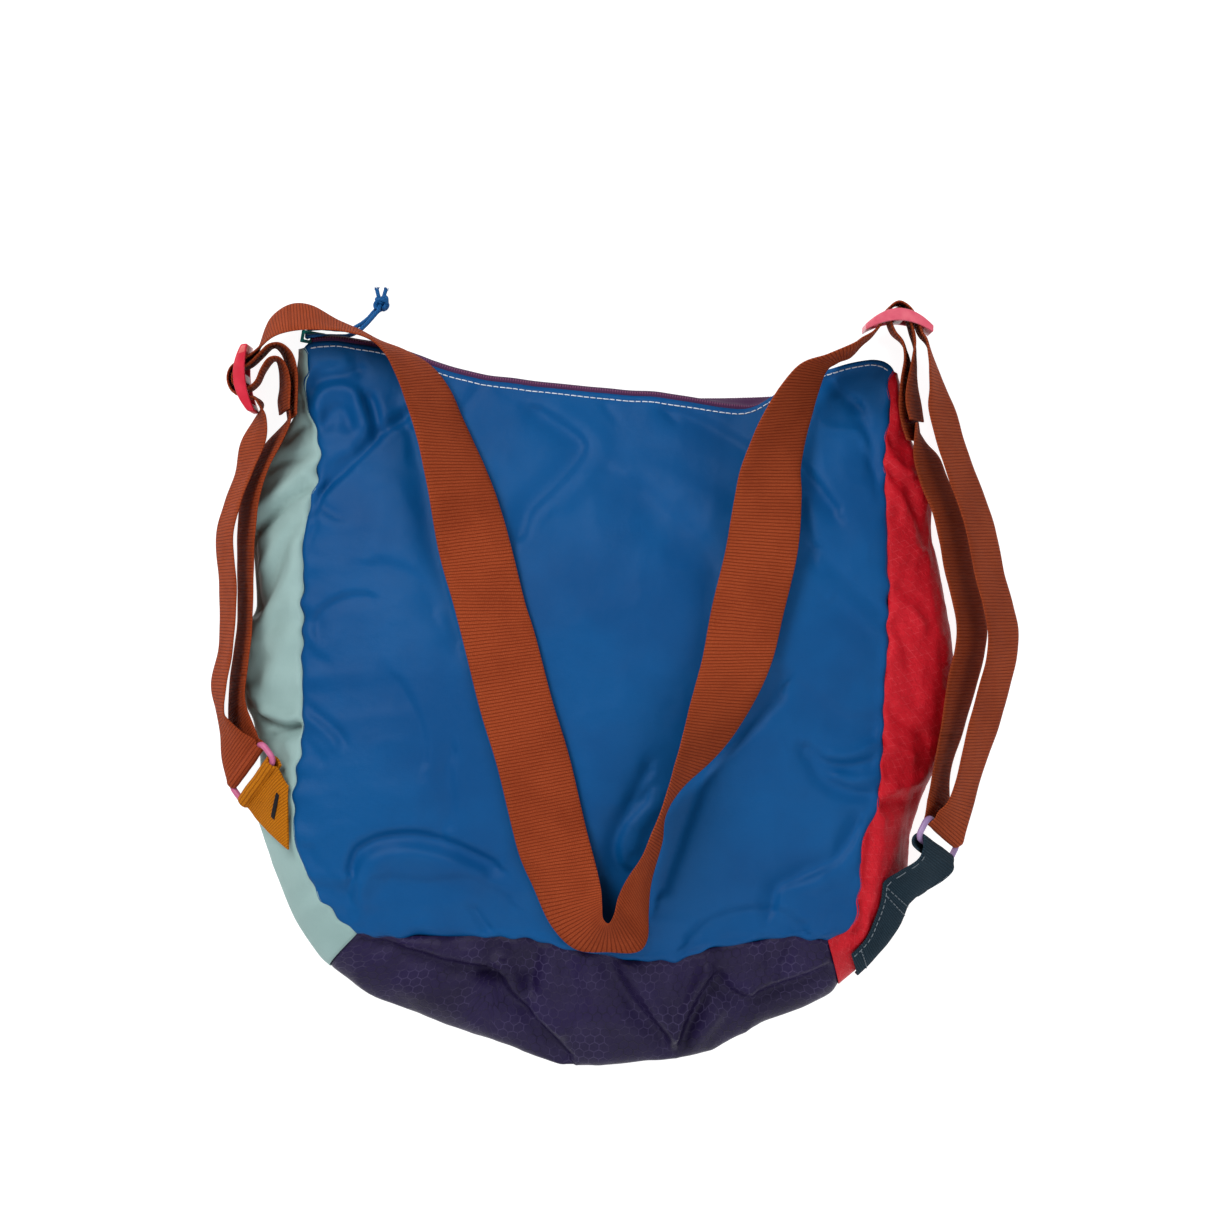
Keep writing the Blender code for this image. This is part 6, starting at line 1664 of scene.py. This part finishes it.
panels = {}
for name, g, towards, sides, mat, slot, node, thick in (
        ("front_cloth", front, (0, 0, 1), ("u0", "u1", "v1"), "blue", "blue_nylon", "front_panel", 0.5),
        ("left_side_cloth", left_side, (-1, 0, 0.2), ("v0",), "mint", "mint_nylon", "left_gusset", 0.5),
        ("right_side_cloth", right_side, (1, 0, 0.2), ("v0",), "red", "red_ripstop", "right_gusset", 0.5),
        ("bottom_cloth", bottom, (0, -1, 0.2), ("u0", "u1", "v0"), "purple", "purple_ripstop", "bottom_panel", 0.5),
        ("back_cloth", back, (0, 0, -1), (), "blue", "blue_nylon", "back_panel", 0.5)):
    n = grid_normals(g, towards)
    g = seam_drop(g, n, sides)
    uv = plan_uv(g) if name in ("front_cloth", "back_cloth") else grid_uv(g)
    ob = shell(name, g, n, MAT[mat], uv, thick)
    w, l, a = flat_size(g)
    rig.ride(ob, "bag")
    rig.replaces(ob, node)
    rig.slot(ob, slot)
    panels[name] = (ob, g, n, w, l, a)
    print("FLAT", name, round(w, 1), round(l, 1), round(a / (w * l), 3))
for name, (ob, g, n, w, l, a) in panels.items():
    held = {"front_cloth": "stretched", "back_cloth": "laid"}.get(name, "stretched")
    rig.sheet(ob, flat=(w * 0.001, l * 0.001), held=held, area=max(0.32 * w * l, min(w * l, a)) * 1e-6)

# ------------------------------------------------------------------ zip
front_g, front_n = panels["front_cloth"][1], panels["front_cloth"][2]


def zip_point(x, dr=0.0):
    a = math.asin((x - ZIP_C[0]) / ZIP_R)
    return np.array((ZIP_C[0] + (ZIP_R + dr) * math.sin(a), ZIP_C[1] - (ZIP_R + dr) * math.cos(a)))


edge = front_g[:, 0]
i0, i1 = 3, NU - 5
ex = edge[i0:i1]
et = unit(np.gradient(ex, axis=0))
eo = np.stack([-et[:, 1], et[:, 0], np.zeros(len(et))], axis=1)
if eo[:, 1].mean() < 0:
    eo = -eo
rows = []
wav = 0.10 * np.sin(np.arange(len(ex)) / 3.0)
for k, (dr, z) in enumerate(((-0.5, 27.0), (0.1, 27.4), (0.9, 27.3), (1.7, 26.9), (2.4, 26.2), (2.9, 25.2), (3.1, 24.0))):
    show = np.clip((84.0 - ex[:, :1]) / 16.0, 0.0, 1.0)
    p = ex + eo * (dr * show - 0.6 * (1.0 - show))
    p[:, 2] = z + wav
    rows.append(p)
last = rows[-1]
goal = []
for q in last:
    zp = zip_point(min(max(q[0], -153.0), 137.8), -0.2)
    goal.append((zp[0], zp[1], 20.4))
goal = np.array(goal)
for f in (0.35, 0.7, 1.0):
    p = last * (1 - f) + goal * f
    p[:, 2] = 24.0 - 3.6 * f
    rows.append(p)
tape_g = np.stack(rows, axis=1)
tape_n = grid_normals(tape_g, (0, 0.6, 0.8))
tuv = np.zeros(tape_g.shape[:2] + (2,))
tuv[:, :, 0] = np.r_[0.0, np.cumsum(np.linalg.norm(np.diff(ex, axis=0), axis=1))][:, None]
tuv[:, :, 1] = np.array([0, 0.6, 1.4, 2.3, 3.3, 4.4, 5.6, 7.5, 9.5, 11.5])[None, :]
tape_f = shell("tape_front_cloth", tape_g, tape_n, MAT["tape"], tuv, 0.4)
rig.ride(tape_f, "bag")
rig.replaces(tape_f, "zip_tape_front")
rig.slot(tape_f, "zip_tape")

b_edge = panels["back_cloth"][1][:, 0]
bb = b_edge[i0:i1]
rows = []
for f in (0, 0.2, 0.4, 0.6, 0.8, 1.0):
    p = []
    for q in bb:
        zp = zip_point(min(max(q[0], -153.0), 137.8), -0.2)
        p.append((q[0] * (1 - f) + zp[0] * f, q[1] * (1 - f) + zp[1] * f + 0.5 * math.sin(math.pi * f), 8.2 + (14.8 - 8.2) * f))
    rows.append(np.array(p))
tb_g = np.stack(rows, axis=1)
tb_n = grid_normals(tb_g, (0, 1, -0.2))
tuv = np.zeros(tb_g.shape[:2] + (2,))
tuv[:, :, 0] = np.r_[0.0, np.cumsum(np.linalg.norm(np.diff(bb, axis=0), axis=1))][:, None]
tuv[:, :, 1] = np.linspace(6, 12, 6)[None, :]
tape_b = shell("tape_back_cloth", tb_g, tb_n, MAT["tape"], tuv, 0.4)
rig.ride(tape_b, "bag")
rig.replaces(tape_b, "zip_tape_back")
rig.slot(tape_b, "zip_tape")

parts = []
total = ZIP_R * (math.asin((138.0 - ZIP_C[0]) / ZIP_R) - math.asin((-153.5 - ZIP_C[0]) / ZIP_R))
count = int(total / 1.35)
a0, a1 = math.asin((-153.5 - ZIP_C[0]) / ZIP_R), math.asin((138.0 - ZIP_C[0]) / ZIP_R)
for k in range(count):
    a = a0 + (a1 - a0) * (k + 0.5) / count
    c = np.array((ZIP_C[0] + ZIP_R * math.sin(a), ZIP_C[1] - ZIP_R * math.cos(a)))
    rad = np.array((math.sin(a), -math.cos(a)))
    dz = 0.55 if k % 2 else -0.55
    pts = [(c[0] - rad[0] * 0.75, c[1] - rad[1] * 0.75, ZIP_Z - 1.9 + dz * 0.3), (c[0] + rad[0] * 0.45, c[1] + rad[1] * 0.45, ZIP_Z - 1.0 + dz * 0.3),
           (c[0] + rad[0] * 0.55, c[1] + rad[1] * 0.55, ZIP_Z + dz * 0.3), (c[0] + rad[0] * 0.45, c[1] + rad[1] * 0.45, ZIP_Z + 1.0 + dz * 0.3),
           (c[0] - rad[0] * 0.75, c[1] - rad[1] * 0.75, ZIP_Z + 1.9 + dz * 0.3)]
    parts.append(tube(pts, 0.52, 6))
cores = []
for dz in (-1.2, 1.2):
    cores.append(tube([(*(zip_point(x, -0.35)), ZIP_Z + dz) for x in np.linspace(-153.4, 137.9, 120)], 0.55, 6))
chain = join_parts("zip_teeth", parts + cores, MAT["coil"])
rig.ride(chain, "bag")
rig.replaces(chain, "zip_chain")
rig.slot(chain, "zip_chain")
parts = []
for x in (138.9, 140.0, 141.1):
    c = zip_point(x)
    rad = unit(c - np.array(ZIP_C))
    parts.append(tube([(c[0] - rad[0] * 0.7, c[1] - rad[1] * 0.7, ZIP_Z - 2.4), (c[0] + rad[0] * 1.0, c[1] + rad[1] * 1.0, ZIP_Z),
                       (c[0] - rad[0] * 0.7, c[1] - rad[1] * 0.7, ZIP_Z + 2.4)], 0.55, 8))
stop = join_parts("zip_stop_bar", parts, MAT["coil"])
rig.ride(stop, "bag")
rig.replaces(stop, "zip_end_stop")
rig.slot(stop, "zip_chain")

# ------------------------------------------------------------------ stitches
def stitch(c0, c1, up, r=0.28, arch=0.30):
    c0, c1, up = np.asarray(c0, float), np.asarray(c1, float), np.asarray(up, float)
    out = []
    for f, h in ((0, -0.30), (0.12, 0.6), (0.5, 1.0), (0.88, 0.6), (1, -0.30)):
        out.append(c0 + (c1 - c0) * f + up * (h * arch))
    return tube(out, r, 6)


parts = []
vdist = np.cumsum(np.linalg.norm(np.diff(front_g, axis=1, prepend=front_g[:, :1]), axis=2), axis=1)
lines_pts, lines_n = [], []
for i in range(1, NU):
    j = int(np.searchsorted(vdist[i], 3.0))
    j = max(1, min(j, NS))
    f = (3.0 - vdist[i, j - 1]) / max(vdist[i, j] - vdist[i, j - 1], 1e-6)
    lines_pts.append(front_g[i, j - 1] * (1 - f) + front_g[i, j] * f)
    lines_n.append(front_n[i, j])
lp, ln = np.array(lines_pts), np.array(lines_n)
sd = np.r_[0.0, np.cumsum(np.linalg.norm(np.diff(lp, axis=0), axis=1))]


def on_line(s):
    return (np.array([np.interp(s, sd, lp[:, k]) for k in range(3)]), unit(np.array([np.interp(s, sd, ln[:, k]) for k in range(3)])))


s = 2.0
k = 0
while s + 3.0 < sd[-1]:
    a, na = on_line(s)
    b, nb = on_line(s + 2.7 + 0.2 * math.sin(1.7 * k))
    parts.append(stitch(a + na * 0.10, b + nb * 0.10, na, 0.30, 0.26))
    s += 3.5
    k += 1
top_st = join_parts("top_stitching", parts, MAT["white_thread"])
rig.ride(top_st, "bag")


def bar_at(outer, n, rows, cols, thread, name, body, count=16, r=0.33, lift=0.12):
    """Close zigzag of thread over a patch of a grid: rows and cols are fractions."""
    parts = []
    for q in range(count):
        f0, f1 = q / count, (q + 0.5) / count
        for fa, ca, cb in ((f0, cols[0], cols[1]), (f1, cols[1], cols[0])):
            ra = rows[0] + (rows[1] - rows[0]) * fa
            rb = rows[0] + (rows[1] - rows[0]) * (fa + 0.5 / count)
            a, b = grid_at(outer, ra, ca), grid_at(outer, rb, cb)
            na = unit(grid_at(n, ra, ca))
            parts.append(stitch(a + na * lift, b + na * lift, na, r, 0.22))
    ob = join_parts(name, parts, thread)
    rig.ride(ob, body)
    return ob


m_rows = tl_outer.shape[0]
# left tab: black bar tack across its upper half; right tab: pale dashes and a bar
bar_at(tl_outer, tl_n, (0.86, 0.885), (0.30, 0.72), MAT["black_thread"], "tab_left_bartack", "bag", 5, 0.42)
parts = []
g, n = tr_outer, tr_n
for col in (0.05, 0.95):
    rr = 0.56
    while rr < 0.985:
        a, b = grid_at(g, rr, col), grid_at(g, rr + 0.016, col)
        na = unit(grid_at(n, rr, col))
        parts.append(stitch(a + na * 0.1, b + na * 0.1, na, 0.26, 0.2))
        rr += 0.026
for row in (0.66, 0.70, 0.955):
    c = 0.06
    while c < 0.93:
        a, b = grid_at(g, row, c), grid_at(g, row, c + 0.05)
        na = unit(grid_at(n, row, c))
        parts.append(stitch(a + na * 0.1, b + na * 0.1, na, 0.26, 0.2))
        c += 0.08
tab_st = join_parts("tab_right_stitching", parts, MAT["pale_thread"])
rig.ride(tab_st, "bag")


def edge_bar(name, stations, i, side, body, z0, z1, off, mat, rows=4, along=2.0):
    """Bar tack on an upright strap: upright zigzag rows on one face."""
    st = np.array(stations[i], float)
    nxt = np.array(stations[i + 1], float)
    c0 = 0.5 * (st[:3] + st[3:])
    t = unit(0.5 * (nxt[:3] + nxt[3:]) - c0)
    w = unit(st[3:] - st[:3])
    n = unit(np.cross(t, w)) * side
    parts = []
    for q in range(rows):
        p = c0 + t * (q * along / rows) + n * off
        for k in range(int((z1 - z0) / 1.6)):
            a = p - w * (z0 + k * 1.6)
            parts.append(stitch(a, a - w * 1.3 + t * 0.25, n, 0.3, 0.2))
    ob = join_parts(name, parts, mat)
    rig.ride(ob, body)
    return ob


edge_bar("strap_end_left_bartack", end_l_st, 1, 1.0, "adjuster_left", -15.0, 15.0, WEB_T / 2 + 0.15, MAT["red_thread"])
edge_bar("strap_end_right_bartack", end_r_st, 1, -1.0, "adjuster_right", -15.0, 15.0, WEB_T / 2 + 0.15, MAT["red_thread"])

# ------------------------------------------------------------------ what rides on what
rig.blend(side_l, "bag", "ring_left", m3((-206.5, -5.0, 20.0)), m3((-198.0, -40.0, 24.0)))
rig.blend(side_r, "bag", "ring_right", m3((196.0, -45.0, 22.0)), m3((183.0, -75.0, 25.0)))
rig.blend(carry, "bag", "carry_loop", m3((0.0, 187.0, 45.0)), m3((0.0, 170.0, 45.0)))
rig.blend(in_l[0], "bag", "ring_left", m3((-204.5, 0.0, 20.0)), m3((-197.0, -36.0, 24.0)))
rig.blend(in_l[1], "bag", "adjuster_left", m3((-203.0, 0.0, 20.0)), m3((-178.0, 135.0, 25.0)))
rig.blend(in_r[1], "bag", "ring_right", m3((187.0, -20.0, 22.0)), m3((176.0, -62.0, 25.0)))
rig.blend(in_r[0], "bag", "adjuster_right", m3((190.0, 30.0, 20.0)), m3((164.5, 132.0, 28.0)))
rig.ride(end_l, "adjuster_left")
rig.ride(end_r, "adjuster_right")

# ------------------------------------------------------------------ floor
fm, fnt, fb = new_mat("white_floor", (0.93, 0.93, 0.93), 0.9, Specular_IOR_Level=0.1)
fnet = Net(fnt)
tc = fnet.node("ShaderNodeTexCoord", {}).outputs["Object"]
fn = fnet.node("ShaderNodeTexNoise", {"Vector": tc, "Scale": 3.0, "Detail": 2.0}).outputs[0]
fnet.link(fnet.mixc(fn, (0.30, 0.30, 0.30), (0.32, 0.32, 0.32)), fb.inputs["Base Color"])
fb.inputs["Emission Color"].default_value = (1.0, 1.0, 1.0, 1.0)
fb.inputs["Emission Strength"].default_value = 0.92
floor = mesh_object("floor", [(-4000, -4000, -0.02), (4000, -4000, -0.02), (4000, 4000, -0.02), (-4000, 4000, -0.02)], [(0, 1, 2, 3)], fm, raw=True)
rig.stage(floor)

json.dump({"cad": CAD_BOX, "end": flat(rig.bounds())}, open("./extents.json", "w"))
